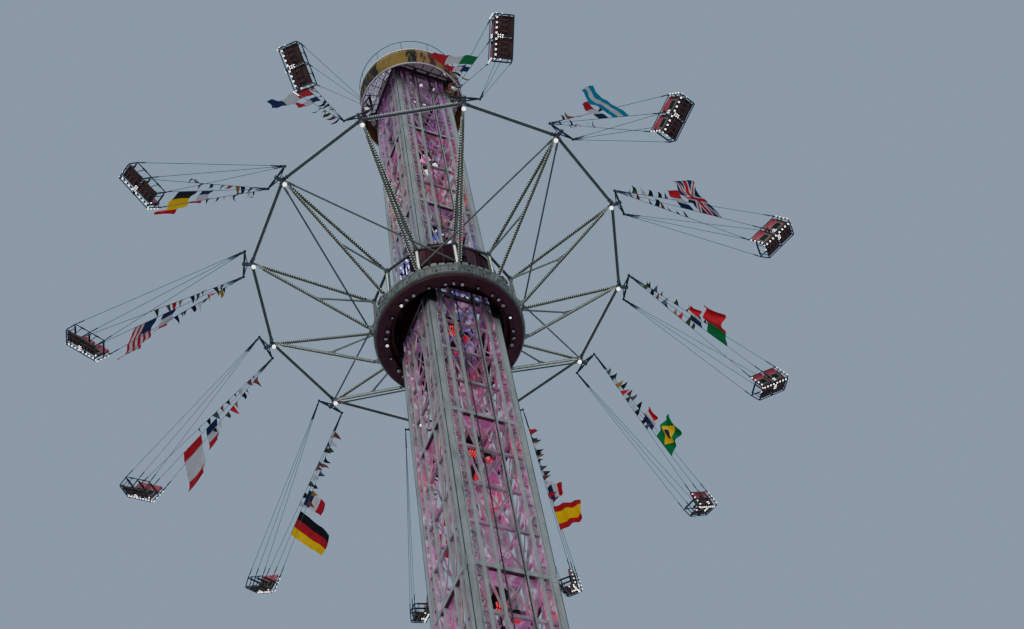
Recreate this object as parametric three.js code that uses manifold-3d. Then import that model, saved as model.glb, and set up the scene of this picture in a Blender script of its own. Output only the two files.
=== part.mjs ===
// Chair swing ride at half size, in millimetres, +Z up, origin on the ground under the mast.
// It is stored as it flies: the carriage part way up the mast and every chair swung outwards.
import * as THREE from 'three';
import { mergeVertices } from 'three/addons/utils/BufferGeometryUtils.js';
import Module from 'manifold-3d';

const wasm = await Module();
wasm.setup();

const SEAT_GAP = 0.3;
const ARMS = 12;
const ARM_STEP = 30;
const WHEEL_PHASE = 16.19;
const FIRST_ARM = 256.19;
const RING_SIDES = 24;

// Outward swing of each chair from plumb, in degrees, starting at the arm nearest the viewer.
const SWING = [37, 33, 35, 32, 35, 31, 31, 40, 40, 41, 39, 38];

// How far each chair's flags trail behind their cable, and how far they lean up or down along it.
const TRAIL = [600, 700, 560, 440, 430, 470, 600, 690, 590, 470, 490, 620];
const LEAN = [40, 0, 430, 246, 179, 0, -60, -132, -320, -319, -137, -50];
const FLAG = { low: 0.752, high: 0.604, wave: 38, thickness: 6 };
const SMALL_FLAG = { low: 0.562, high: 0.472, share: 0.56, wave: 22 };

const MAST = { half: 600, chord: 120, foot: 450, top: 28150, module: 3100 };
const FACE = { depth: 50, back: 545, secondary: 375, central: 182, rail: 50, inner: 42, beam: 70 };
const HEAD = { deckRadius: 1061.7, fasciaOut: 1092, fasciaLow: 27505, fasciaTop: 28250, railTop: 28750 };
const ROPE = { x: 140, y: 640, radius: 10 };
const DRUM = { inner: 880, outer: 920, low: 18930, high: 20150, flange: 1060 };
const DRUM_GAP = { half: 490, low: 19110 };
const TIP = { ring: 3150, ringZ: 20740, pinX: 3270, pinZ: 20685, pinRadius: 14, halfPin: 258 };
const HANG = { eyeY: 243, hole: 15.3, knot: -92, cable: 9, side: 300, rearY: -162, low: -3449.3 };

const rad = THREE.MathUtils.degToRad;
const vec = (x, y, z) => new THREE.Vector3(x, y, z);

const ride = new THREE.Group();
ride.name = 'chair_swing_ride';

const paint = {
  mast: { color: 0xd9d6d2, roughness: 0.45, metalness: 0.3 },
  steel: { color: 0x3a4250, roughness: 0.4, metalness: 0.7 },
  rope: { color: 0x2a2622, roughness: 0.6, metalness: 0.5 },
  maroon: { color: 0x6a1626, roughness: 0.45, metalness: 0.2 },
  band: { color: 0x6f7a6c, roughness: 0.5, metalness: 0.3 },
  fascia: { color: 0xe0b020, roughness: 0.5, metalness: 0.1 },
  deck: { color: 0x35283c, roughness: 0.6, metalness: 0.2 },
  shell: { color: 0xb02430, roughness: 0.45, metalness: 0.0 },
};

function addNode(name, geometry, look) {
  const mesh = new THREE.Mesh(geometry, new THREE.MeshStandardMaterial(look));
  mesh.name = name;
  ride.add(mesh);
}

// A Manifold from any closed three.js geometry.
function solidOf(geometry) {
  const bare = geometry.clone();
  bare.deleteAttribute('normal');
  bare.deleteAttribute('uv');
  const merged = mergeVertices(bare, 1e-3);
  const mesh = new wasm.Mesh({
    numProp: 3,
    vertProperties: new Float32Array(merged.attributes.position.array),
    triVerts: new Uint32Array(merged.index.array),
  });
  return new wasm.Manifold(mesh);
}

function geometryOf(solid) {
  const mesh = solid.getMesh();
  const geometry = new THREE.BufferGeometry();
  geometry.setAttribute('position', new THREE.BufferAttribute(new Float32Array(mesh.vertProperties), 3));
  geometry.setIndex(new THREE.BufferAttribute(new Uint32Array(mesh.triVerts), 1));
  geometry.computeVertexNormals();
  return geometry;
}

function fuse(parts) {
  let sum = solidOf(parts[0]);
  for (const part of parts.slice(1)) {
    sum = sum.add(solidOf(part));
  }
  return geometryOf(sum);
}

function cut(body, tools) {
  let rest = solidOf(body);
  for (const tool of tools) {
    rest = rest.subtract(solidOf(tool));
  }
  return geometryOf(rest);
}

// A box between two opposite corners.
function block(x0, x1, y0, y1, z0, z1) {
  const geometry = new THREE.BoxGeometry(x1 - x0, y1 - y0, z1 - z0);
  return geometry.translate((x0 + x1) / 2, (y0 + y1) / 2, (z0 + z1) / 2);
}

// Turns a geometry that was made along +Z so that it runs from p to q.
function alongLine(geometry, p, q, side) {
  const axis = q.clone().sub(p).normalize();
  const guide = Math.abs(axis.dot(side)) > 0.9 ? vec(0, 0, 1) : side;
  const across = guide.clone().addScaledVector(axis, -guide.dot(axis)).normalize();
  const third = across.clone().cross(axis);
  const turn = new THREE.Matrix4().makeBasis(third, across, axis);
  geometry.applyMatrix4(turn);
  const middle = p.clone().add(q).multiplyScalar(0.5);
  return geometry.translate(middle.x, middle.y, middle.z);
}

// A bar of square section from p to q, one pair of its sides square to the given direction.
function bar(p, q, width, side = vec(0, 1, 0)) {
  const geometry = new THREE.BoxGeometry(width, width, p.distanceTo(q));
  return alongLine(geometry, p, q, side);
}

function roundBar(p, q, radius, sides) {
  const geometry = new THREE.CylinderGeometry(radius, radius, p.distanceTo(q), sides);
  geometry.rotateX(Math.PI / 2);
  return alongLine(geometry, p, q, vec(0.3, 1, 0.2));
}

// A flat plate with holes, centred on the XZ or the YZ plane.
function plate(plane, outline, holes, thickness) {
  const points = (list) => list.map(([a, b]) => new THREE.Vector2(a, b));
  const shape = new THREE.Shape(points(outline));
  shape.holes = holes.map((hole) => new THREE.Path(points(hole)));
  const geometry = new THREE.ExtrudeGeometry(shape, { depth: thickness, bevelEnabled: false });
  geometry.translate(0, 0, -thickness / 2);
  const up = vec(0, 0, 1);
  const turn = new THREE.Matrix4();
  if (plane === 'xz') {
    turn.makeBasis(vec(1, 0, 0), up, vec(0, -1, 0));
  } else {
    turn.makeBasis(vec(0, 1, 0), up, vec(1, 0, 0));
  }
  return geometry.applyMatrix4(turn);
}

// Where two lines cross, each given as [x, z, rise over run].
function crossing([xa, za, ka], [xb, zb, kb]) {
  const x = (zb - za + ka * xa - kb * xb) / (ka - kb);
  return [x, za + ka * (x - xa)];
}

// A ring turned about Z from a closed profile of [radius, height] points.
function turned(profile, sides = RING_SIDES) {
  const points = profile.map(([r, z]) => new THREE.Vector2(r, z));
  points.push(points[0].clone());
  const geometry = new THREE.LatheGeometry(points, sides);
  geometry.rotateX(Math.PI / 2);
  return geometry;
}

function polar(radius, degrees, z) {
  return vec(radius * Math.cos(rad(degrees)), radius * Math.sin(rad(degrees)), z);
}

// Foot frame: crossed beams on the ground, a square under the mast and four raking stays.
function footFrame() {
  const parts = [];
  const cleatLow = 1440;
  const cleatTop = 1560;
  for (let i = 0; i < 4; i += 1) {
    const turn = rad(45 + 90 * i);
    const beam = block(300, 2300, -90, 90, 0, 200);
    const pad = block(2140, 2460, -160, 160, 0, 60);
    parts.push(beam.rotateZ(turn), pad.rotateZ(turn));
    const side = block(-600, 600, 480, 600, 120, MAST.foot);
    parts.push(side.rotateZ(rad(90 * i)));
    const stay = bar(polar(1950, 0, 150), polar(880, 0, cleatTop - 60), 70);
    parts.push(stay.rotateZ(turn));
    const cleat = block(500, 660, 500, 660, cleatLow, cleatTop);
    parts.push(cleat.rotateZ(rad(90 * i)));
  }
  parts.push(block(-330, 330, -330, 330, 0, 200));
  for (const sign of [-1, 1]) {
    const x = sign * ROPE.x;
    parts.push(block(x - 30, x + 30, -ROPE.y - 20, -590, 380, MAST.foot));
  }
  const tools = [];
  for (let i = 0; i < 4; i += 1) {
    const room = block(479.7, 600.3, 479.7, 600.3, MAST.foot, 2000);
    tools.push(room.rotateZ(rad(90 * i)));
  }
  return cut(fuse(parts), tools);
}

// One side of the mast lattice, in the plane square to -Y: four rails and the joint beams.
function mastFace() {
  const y0 = -FACE.back - FACE.depth;
  const y1 = -FACE.back;
  const low = MAST.foot + SEAT_GAP;
  const top = MAST.top;
  const parts = [];
  for (const sign of [-1, 1]) {
    for (const [x, width] of [[FACE.secondary, FACE.rail], [FACE.central, FACE.inner]]) {
      const middle = sign * x;
      parts.push(block(middle - width / 2, middle + width / 2, y0, y1, low, top));
    }
  }
  const reach = MAST.half - MAST.chord - SEAT_GAP;
  const heights = [low + FACE.beam / 2, top - FACE.beam / 2];
  for (let z = MAST.foot + MAST.module; z < top - MAST.module / 2; z += MAST.module) {
    heights.push(z);
  }
  for (const z of heights) {
    parts.push(block(-reach, reach, y0, y1, z - FACE.beam / 2, z + FACE.beam / 2));
  }
  return fuse(parts);
}

function headFrame() {
  const low = MAST.top + SEAT_GAP;
  const high = low + 59.7;
  const outer = block(-620, 620, -620, 620, low, high);
  const inner = block(-500, 500, -500, 500, low - 10, high + 10);
  const lugs = [-1, 1].map((sign) => {
    const x = sign * ROPE.x;
    return block(x - 30, x + 30, -ROPE.y - 20, -610, low, high);
  });
  return fuse([cut(outer, [inner]), ...lugs]);
}

// The deck is a flat disc on the head frame.
function topDeck() {
  const low = MAST.top + 60 + SEAT_GAP;
  const geometry = new THREE.CylinderGeometry(HEAD.deckRadius, HEAD.deckRadius, 29.4, RING_SIDES);
  geometry.rotateX(Math.PI / 2);
  return geometry.translate(0, 0, low + 14.7);
}

function topRailing() {
  const radius = 1077;
  const low = HEAD.fasciaTop + SEAT_GAP;
  const high = HEAD.railTop;
  const rail = turned([
    [radius - 10, high - 20],
    [radius + 10, high - 20],
    [radius + 10, high],
    [radius - 10, high],
  ]);
  const parts = [rail];
  for (let i = 0; i < 12; i += 1) {
    const post = block(radius - 9, radius + 9, -9, 9, low, high - 10);
    parts.push(post.rotateZ(rad(30 * i)));
  }
  return fuse(parts);
}

// The carriage: a drum round the mast, open at its left and right, with a flange for the wheel,
// guide shoes and rope clamps.
function carriageDrum() {
  const flangeTop = 19029.2;
  const drum = turned([
    [DRUM.inner, DRUM.low],
    [DRUM.outer, DRUM.low],
    [DRUM.outer, 18960],
    [DRUM.flange, 18960],
    [DRUM.flange, flangeTop],
    [DRUM.outer, flangeTop],
    [DRUM.outer, DRUM.high],
    [DRUM.inner, DRUM.high],
  ]);
  const parts = [drum];
  for (let i = 0; i < 4; i += 1) {
    for (const z of [DRUM.low + 60, DRUM.high - 180]) {
      const shoe = block(510, 570, -700, -MAST.half - 5.2, z, z + 100);
      parts.push(shoe.rotateZ(rad(90 * i)));
    }
  }
  for (const sign of [-1, 1]) {
    const x = sign * ROPE.x;
    parts.push(block(x - 30, x + 30, -890, -ROPE.y - ROPE.radius - 0.5, 19640, 19720));
  }
  const tools = [-1, 1].map((sign) => {
    const [x0, x1] = sign < 0 ? [-1000, -500] : [500, 1000];
    return block(x0, x1, -DRUM_GAP.half, DRUM_GAP.half, DRUM_GAP.low, DRUM.high + 50);
  });
  return cut(fuse(parts), tools);
}

function hubBand() {
  return turned([
    [1100, 18800],
    [1190, 18800],
    [1190, 19050],
    [940, 19050],
    [940, 19030],
    [1100, 19030],
  ]);
}

function hubSoffit() {
  return turned([
    [965, 18775],
    [1050, 18775],
    [1050, 18740],
    [1165, 18740],
    [1165, 18799.7],
    [965, 18799.7],
  ]);
}

// Twelve posts on the hub band, joined at the top by a twelve-sided ring.
function hubFrame() {
  const parts = [];
  for (let i = 0; i < ARMS; i += 1) {
    const turn = rad(ARM_STEP * i);
    parts.push(block(1135, 1185, -25, 25, 19050.3, 19770).rotateZ(turn));
    const p = polar(1160, ARM_STEP * i, 19745);
    const q = polar(1160, ARM_STEP * (i + 1), 19745);
    parts.push(bar(p, q, 50, vec(0, 0, 1)));
  }
  return fuse(parts);
}

// The ring through all arm tips, turned with twelve sides.
function rimRing() {
  const r0 = TIP.ring - 25;
  const r1 = TIP.ring + 25;
  const z0 = TIP.ringZ - 25;
  const z1 = TIP.ringZ + 25;
  return turned([[r0, z0], [r1, z0], [r1, z1], [r0, z1]], ARMS);
}

// Rods from every third arm tip to the hub posts two places away, which cross in pairs.
function braceRods() {
  const parts = [];
  for (let i = 1; i < ARMS; i += 3) {
    const turn = rad(FIRST_ARM + ARM_STEP * i);
    parts.push(block(3098, 3152, -52, 52, 20638, 20659.7).rotateZ(turn));
    for (const sign of [-1, 1]) {
      const tipEnd = vec(3125, sign * 40, 20649);
      const postEnd = vec(1160, -sign * 34, 19200).applyAxisAngle(vec(0, 0, 1), rad(sign * 2 * ARM_STEP));
      parts.push(bar(tipEnd, postEnd, 24, vec(0, 0, 1)).rotateZ(turn));
    }
  }
  return fuse(parts);
}

// One arm, radial along +X: two tubes that meet at the tip, a strut and the pin for a chair.
function arm() {
  const half = 22;
  const tip = [3080, 20688];
  const tube = (x, z, side) => {
    const slope = (tip[1] - z) / (tip[0] - x);
    return [x, z + side * half * Math.hypot(1, slope), slope];
  };
  const lowerUnder = tube(1212, 18880, -1);
  const lowerOver = tube(1212, 18880, 1);
  const upperUnder = tube(1205, 19745, -1);
  const upperOver = tube(1205, 19745, 1);
  const level = (z) => [0, z, 0];
  const outline = [
    [1190.5, 18850],
    crossing(lowerUnder, level(18850)),
    crossing(lowerUnder, level(20660)),
    [3300, 20660],
    [3300, 20714.7],
    crossing(upperOver, level(20714.7)),
    [1185.5, upperOver[1] - (1205 - 1185.5) * upperOver[2]],
    [1185.5, 19716],
    crossing(lowerOver, level(19716)),
    [1190.5, lowerOver[1] - (1212 - 1190.5) * lowerOver[2]],
  ];
  const window = [
    crossing(upperUnder, level(19750)),
    crossing(lowerOver, level(19750)),
    crossing(upperUnder, lowerOver),
  ];
  const truss = plate('xz', outline, [window], 2 * half);
  const pinEnd = (y) => vec(TIP.pinX, y, TIP.pinZ);
  const pin = roundBar(pinEnd(-TIP.halfPin), pinEnd(TIP.halfPin), TIP.pinRadius, 12);
  const caps = [-1, 1].map((sign) => {
    const cap = block(-20, 20, -5, 5, -20, 20);
    return cap.translate(TIP.pinX, sign * 256, TIP.pinZ);
  });
  return fuse([truss, pin, ...caps]);
}

// The hanging frame of a chair, pivot at the origin, outwards along +X, riders facing +Y.
function chairFrame() {
  const parts = [];
  const rear = HANG.rearY;
  const low = HANG.low;
  const hole = [];
  for (let i = 0; i < 8; i += 1) {
    hole.push([HANG.hole * Math.cos(rad(45 * i)), HANG.hole * Math.sin(rad(45 * i))]);
  }
  for (const sign of [-1, 1]) {
    const y = sign * HANG.eyeY;
    const eye = plate('xz', [[-26, -100], [26, -100], [26, 30], [-26, 30]], [hole], 13);
    parts.push(eye.translate(0, y, 0));
    for (const step of [-1, 0, 1]) {
      const end = sign > 0 ? vec(0, 130, -3270) : vec(0, rear, -3130);
      end.x = step * HANG.side;
      parts.push(bar(vec(step * 14, y, HANG.knot), end, HANG.cable));
    }
  }
  const outline = [
    [rear - 9, -3125],
    [rear + 2, low - 9],
    [122, low - 9],
    [139, -3264],
    [121, -3264],
    [119, -3283],
    [rear + 12, -3283],
    [rear + 9, -3125],
  ];
  const gap = [[rear + 13, -3297], [rear + 19, low + 9], [104, low + 9], [117, -3297]];
  for (const step of [-1, 0, 1]) {
    const side = plate('yz', outline, [gap], 18);
    parts.push(side.translate(step * HANG.side, 0, 0));
  }
  parts.push(block(-HANG.side, HANG.side, -60, 40, low - 9, low + 9));
  parts.push(block(-HANG.side, HANG.side, 123, 137, -3279, -3265));
  return fuse(parts);
}

// A flag on the middle rear cable: a thin waving strip that trails backwards and leans along the cable.
function flag(high, low, trail, lean, wave) {
  const steps = 6;
  const half = FLAG.thickness / 2;
  const edge = (side) => {
    const line = [];
    for (let i = 0; i <= steps; i += 1) {
      const s = i / steps;
      line.push(new THREE.Vector2(side * half + wave * s * Math.sin(8 * s), 6 - (trail + 6) * s));
    }
    return line;
  };
  const strip = new THREE.Shape([...edge(1), ...edge(-1).reverse()]);
  const height = (t) => HANG.knot - (3130 + HANG.knot) * t;
  const depth = height(high) - height(low);
  const geometry = new THREE.ExtrudeGeometry(strip, { depth, bevelEnabled: false });
  const leaning = new THREE.Matrix4().makeShear(0, 0, 0, -lean / trail, 0, 0);
  geometry.applyMatrix4(leaning);
  const middle = (high + low) / 2;
  return geometry.translate(0, (HANG.rearY + HANG.eyeY) * middle - HANG.eyeY, height(low));
}

// The hanging frame of one chair with its two flags.
function flaggedFrame(shape, index) {
  const big = flag(FLAG.high, FLAG.low, TRAIL[index], LEAN[index], FLAG.wave);
  const smallTrail = TRAIL[index] * SMALL_FLAG.share;
  const smallLean = LEAN[index] * SMALL_FLAG.share;
  const small = flag(SMALL_FLAG.high, SMALL_FLAG.low, smallTrail, smallLean, SMALL_FLAG.wave);
  return fuse([shape, big, small]);
}

// Two seats side by side: one pan and two backs.
function chairSeat() {
  const profile = [[-128, -3440], [100, -3440], [100, -3405], [-93, -3405], [-106, -3135], [-141, -3135]];
  const shell = plate('yz', profile, [], 570);
  return cut(shell, [block(-13, 13, -200, -80, -3404, -3100)]);
}

function place(geometry, index) {
  const copy = geometry.clone();
  copy.rotateY(-rad(SWING[index]));
  copy.translate(TIP.pinX, 0, TIP.pinZ);
  return copy.rotateZ(rad(FIRST_ARM + ARM_STEP * index));
}

const two = (n) => String(n).padStart(2, '0');

addNode('foot_frame', footFrame(), paint.mast);
const reach = MAST.half - MAST.chord;
const chordSigns = [[-1, 1], [-1, -1], [1, -1], [1, 1]];
chordSigns.forEach(([sx, sy], i) => {
  const chord = block(reach, MAST.half, reach, MAST.half, MAST.foot + SEAT_GAP, MAST.top);
  const middle = MAST.half - MAST.chord / 2;
  chord.translate((sx - 1) * middle, (sy - 1) * middle, 0);
  addNode(`mast_chord_${i + 1}`, chord, paint.mast);
});
const face = mastFace();
['front', 'right', 'back', 'left'].forEach((name, i) => {
  addNode(`mast_face_${name}`, face.clone().rotateZ(rad(90 * i)), paint.mast);
});
addNode('head_frame', headFrame(), paint.mast);
addNode('top_deck', topDeck(), paint.deck);
addNode('top_fascia', turned([
  [HEAD.fasciaOut - 30, HEAD.fasciaLow],
  [HEAD.fasciaOut, HEAD.fasciaLow],
  [HEAD.fasciaOut, HEAD.fasciaTop],
  [HEAD.fasciaOut - 30, HEAD.fasciaTop],
]), paint.fascia);
addNode('top_railing', topRailing(), paint.mast);
[['left', -1], ['right', 1]].forEach(([name, sign]) => {
  const x = sign * ROPE.x;
  const low = vec(x, -ROPE.y, MAST.foot + SEAT_GAP);
  const high = vec(x, -ROPE.y, MAST.top);
  addNode(`hoist_rope_${name}`, roundBar(low, high, ROPE.radius, 8), paint.rope);
});

addNode('carriage_drum', carriageDrum(), paint.maroon);

const wheelTurn = rad(WHEEL_PHASE);
addNode('hub_band', hubBand().rotateZ(wheelTurn), paint.band);
addNode('hub_soffit', hubSoffit().rotateZ(wheelTurn), paint.maroon);
addNode('hub_frame', hubFrame().rotateZ(wheelTurn), paint.steel);
addNode('rim_ring', rimRing().rotateZ(wheelTurn), paint.steel);
addNode('brace_rods', braceRods(), paint.steel);

const armShape = arm();
const frameShape = chairFrame();
const seatShape = chairSeat();
for (let i = 0; i < ARMS; i += 1) {
  const turn = rad(FIRST_ARM + ARM_STEP * i);
  addNode(`arm_${two(i + 1)}`, armShape.clone().rotateZ(turn), paint.steel);
}
for (let i = 0; i < ARMS; i += 1) {
  addNode(`chair_${two(i + 1)}_frame`, place(flaggedFrame(frameShape, i), i), paint.steel);
  addNode(`chair_${two(i + 1)}_seat`, place(seatShape, i), paint.shell);
}

export default ride;
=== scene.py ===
"""Looks of the half-size chair swing ride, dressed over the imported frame.

Metres, +Z up, the mast's axis is Z. The ride flies as the frame stores it: carriage part way up,
every chair swung outwards.
"""

import math
from itertools import product

import bpy
import numpy as np
from mathutils import Matrix, Vector


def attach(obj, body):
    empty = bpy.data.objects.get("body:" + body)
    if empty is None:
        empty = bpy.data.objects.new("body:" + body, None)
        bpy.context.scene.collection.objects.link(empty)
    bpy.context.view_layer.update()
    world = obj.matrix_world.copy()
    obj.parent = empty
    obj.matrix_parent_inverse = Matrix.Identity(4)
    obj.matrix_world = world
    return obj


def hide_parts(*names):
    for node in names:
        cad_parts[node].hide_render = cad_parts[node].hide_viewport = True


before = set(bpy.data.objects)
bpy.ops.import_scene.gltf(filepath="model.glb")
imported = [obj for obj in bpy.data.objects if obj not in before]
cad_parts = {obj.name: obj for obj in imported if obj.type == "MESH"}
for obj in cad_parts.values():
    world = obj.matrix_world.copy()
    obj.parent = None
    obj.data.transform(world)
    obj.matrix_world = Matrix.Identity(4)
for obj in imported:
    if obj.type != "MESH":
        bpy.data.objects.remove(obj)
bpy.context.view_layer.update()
rng = np.random.default_rng(11)

# Heights of the mast's foot, its head, the ride's top and the joints, and the pitch of the joints
FOOT, HEAD, TOP, MODULE = 0.45, 28.15, 28.75, 3.1
LEVELS = [FOOT + MODULE * k for k in range(9)] + [HEAD]
# What stands on a solid starts this far above it
HAIR = 0.0003
# Deck, the picture drum's upper edge, and the railing's radius
DECK_LOW, DECK_TOP, EDGE, RAIL_R = 28.2105, 28.2396, 28.25, 1.077
# Carriage drum's radii and top, and the hub band's top
DRUM_IN, DRUM_OUT, DRUM_TOP, BAND_TOP = 0.88, 0.92, 19.11, 19.05
# Directions of the hub's posts and the arms, in degrees
POSTS = [16.19 + 30 * k for k in range(12)]
ARMS = [256.19 + 30 * k for k in range(12)]
QUARTERS = range(0, 360, 90)
# Each chair's swing in degrees, and how far its flags trail and lean
SWING = [37, 33, 35, 32, 35, 31, 31, 40, 40, 41, 39, 38]
TRAIL = [0.6, 0.7, 0.56, 0.44, 0.43, 0.47, 0.6, 0.69, 0.59, 0.47, 0.49, 0.62]
LEAN = [0.04, 0.0, 0.43, 0.246, 0.179, 0.0, -0.06, -0.132, -0.32, -0.319, -0.137, -0.05]
# Rim tube, and the arms' cross pins
RIM_R, RIM_Z, PIN_R, PIN_Z = 3.15, 20.74, 3.27, 20.685
# A chair measured from its pin: eyes and knots of the cables, then the frame and the seats' middles
EYE_Y, KNOT, SIDE, REAR_Y, LOW = 0.243, -0.092, 0.3, -0.162, -3.4493
FRONT_Y, FRONT_Z, ARM_Z, SEAT_X = 0.13, -3.272, -3.29, 0.1485

# Radius of the frosted bulbs on arms and rim, and the least area of a waving flag against flat cloth
BULB_R, LEAST_CLOTH = 0.013, 0.78

UP, FRONT = (0, 0, 1), (0, -1, 0)
BOTH = (-1, 1)


# Geometry
def unit(v):
    v = np.asarray(v, float)
    return v / np.maximum(np.linalg.norm(v, axis=-1, keepdims=True), 1e-12)


def polar(radius, degrees, z):
    a = math.radians(degrees)
    return np.array([radius * math.cos(a), radius * math.sin(a), z])


def turn_z(degrees):
    return Matrix.Rotation(math.radians(degrees), 4, "Z")


def spots(xs, ys, zs):
    """Every point of a small grid."""
    return np.array(list(product(xs, ys, zs)), float)


def square_to(axis):
    """Two unit vectors square to each axis in a row of axes."""
    axis = unit(axis)
    guide = np.where(np.abs(axis[..., 2:3]) > 0.9, [[1.0, 0, 0]], [[0, 0, 1.0]])
    a = unit(np.cross(guide, axis))
    return a, np.cross(axis, a)


def rounded(points, radius, steps=4):
    """A polyline with its inner corners rounded."""
    p = [np.asarray(q, float) for q in points]
    out = [p[0]]
    for a, b, c in zip(p, p[1:], p[2:]):
        reach = min(radius, np.linalg.norm(a - b) * 0.45, np.linalg.norm(c - b) * 0.45)
        start, end = b + unit(a - b) * reach, b + unit(c - b) * reach
        for i in range(steps + 1):
            t = i / steps
            out.append((1 - t) ** 2 * start + 2 * t * (1 - t) * b + t * t * end)
    return np.array([*out, p[-1]])


def grid_faces(n, m, closed=(False, False)):
    """Faces of an n by m grid of points, which may close up on itself either way."""
    i, k = np.meshgrid(np.arange(n - 1 + closed[0]), np.arange(m - 1 + closed[1]), indexing="ij")
    i_next, k_next = (i + 1) % n, (k + 1) % m
    corners = i * m + k, i * m + k_next, i_next * m + k_next, i_next * m + k
    return np.stack(corners, -1).reshape(-1, 4)


class Shape:
    """Closed shells gathered as arrays before they become one mesh."""

    def __init__(self):
        self.points, self.faces, self.count = [], [], 0

    def put(self, points, faces, mat=0):
        points = np.asarray(points, float).reshape(-1, 3)
        for f in faces:
            f = np.asarray(f, int)
            self.faces.append((f + self.count, np.broadcast_to(mat, len(f))))
        self.points.append(points)
        self.count += len(points)

    def add(self, other, matrix):
        """Another shape's shells again, moved by the matrix."""
        m = np.array(matrix, float)
        self.faces += [(f + self.count, mat) for f, mat in other.faces]
        self.points.append(np.concatenate(other.points) @ m[:3, :3].T + m[:3, 3])
        self.count += len(self.points[-1])
        return self

    def spin(self, part, degrees):
        """Copies of a part, turned about Z."""
        for a in degrees:
            self.add(part, turn_z(a))
        return self

    def slab(self, outline, offset, mat=0):
        """A flat outline pushed along the offset."""
        p, offset = np.asarray(outline, float), np.asarray(offset, float)
        n = len(p)
        normal = sum(np.cross(p[i] - p[0], p[(i + 1) % n] - p[0]) for i in range(n))
        if normal @ offset < 0:
            p = p[::-1]
        i = np.arange(n)
        j = (i + 1) % n
        sides = np.stack([i, j, j + n, i + n], 1)
        self.put(np.concatenate([p, p + offset]), [sides, [i[::-1]], [i + n]], mat)

    def plate(self, y, thick, outline, mat=0):
        """An upright plate of [x, z] corners, from y on."""
        self.slab([(x, y, z) for x, z in outline], (0, thick, 0), mat)

    def box(self, x0, x1, y0, y1, z0, z1, mat=0):
        (x0, x1), (y0, y1) = sorted((x0, x1)), sorted((y0, y1))
        self.slab([(x0, y0, z0), (x1, y0, z0), (x1, y1, z0), (x0, y1, z0)], (0, 0, z1 - z0), mat)

    def boxes(self, *rows):
        for row in rows:
            self.box(*row)

    def bar(self, p, q, width, height, up=UP, mat=0):
        """A bar of rectangular section from p to q, its height along up."""
        p, q, up = (np.asarray(v, float) for v in (p, q, up))
        axis = unit(q - p)
        across = unit(np.cross(axis, up)) * width / 2
        rise = unit(np.cross(across, axis)) * height / 2
        self.slab([p - across - rise, p + across - rise, p + across + rise, p - across + rise], q - p, mat)

    def tube(self, path, radius, sides=8, mat=0, loop=False, lobes=0, pitch=1.0):
        """A round tube along a path, or a twisted strand where it has lobes."""
        p = np.asarray(path, float)
        n = len(p)
        t = unit(np.roll(p, -1, 0) - np.roll(p, 1, 0) if loop else np.gradient(p, axis=0))
        a = [square_to(t[:1])[0][0]]
        for i in range(1, n):
            a.append(unit(a[-1] - t[i] * (a[-1] @ t[i])))
        a = np.array(a)
        b = np.cross(t, a)
        around = np.arange(sides) * 2 * np.pi / sides
        turn = np.tile(around, (n, 1))
        r = np.broadcast_to(np.asarray(radius, float).reshape(-1, 1), (n, sides))
        if lobes:
            run = np.concatenate([[0], np.cumsum(np.linalg.norm(np.diff(p, axis=0), axis=1))])
            turn = turn + run[:, None] / pitch * 2 * np.pi
            r = r * (0.86 + 0.14 * np.cos(lobes * around))
        turn, r = turn[..., None], r[..., None]
        faces = [grid_faces(n, sides, (loop, True))]
        if not loop:
            faces += [[np.arange(sides)[::-1]], [np.arange(sides) + (n - 1) * sides]]
        self.put(p[:, None] + r * (np.cos(turn) * a[:, None] + np.sin(turn) * b[:, None]), faces, mat)

    def hoop(self, radius, z, thick, sides=8, mat=0):
        """A round tube in a circle about Z."""
        self.tube([polar(radius, a, z) for a in range(0, 360, 4)], thick, sides, mat, loop=True)

    def rod(self, p, q, radius, sides=8, mat=0):
        self.tube([p, q], radius, sides, mat)

    def lathe(self, profile, sides=96, mat=0, arc=None):
        """A closed [radius, height] profile turned about Z, all round or between two angles."""
        p = np.asarray(profile, float)
        if np.sum(p[:, 0] * np.roll(p[:, 1], -1) - np.roll(p[:, 0], -1) * p[:, 1]) < 0:
            p = p[::-1]
        m = np.arange(len(p))
        a = np.linspace(*np.radians(arc), sides) if arc else np.arange(sides) * 2 * np.pi / sides
        height = np.tile(p[:, 1], (sides, 1))
        points = np.stack([np.outer(np.cos(a), p[:, 0]), np.outer(np.sin(a), p[:, 0]), height], -1)
        faces = [grid_faces(sides, len(p), (not arc, True))[:, [0, 3, 2, 1]]]
        self.put(points, faces + [[m], [sides * len(p) - 1 - m]] if arc else faces, mat)

    def ring(self, r0, r1, z0, z1, sides=72, mat=0):
        self.lathe([(r0, z0), (r1, z0), (r1, z1), (r0, z1)], sides, mat)

    def wrap(self, a0, a1, z0, z1, r0, r1, mat=0, steps=None):
        """A curved panel about Z between two angles."""
        steps = steps or max(2, int(math.radians(a1 - a0) / 0.06) + 1)
        self.lathe([(r0, z0), (r1, z0), (r1, z1), (r0, z1)], steps, mat, (a0, a1))

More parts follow.
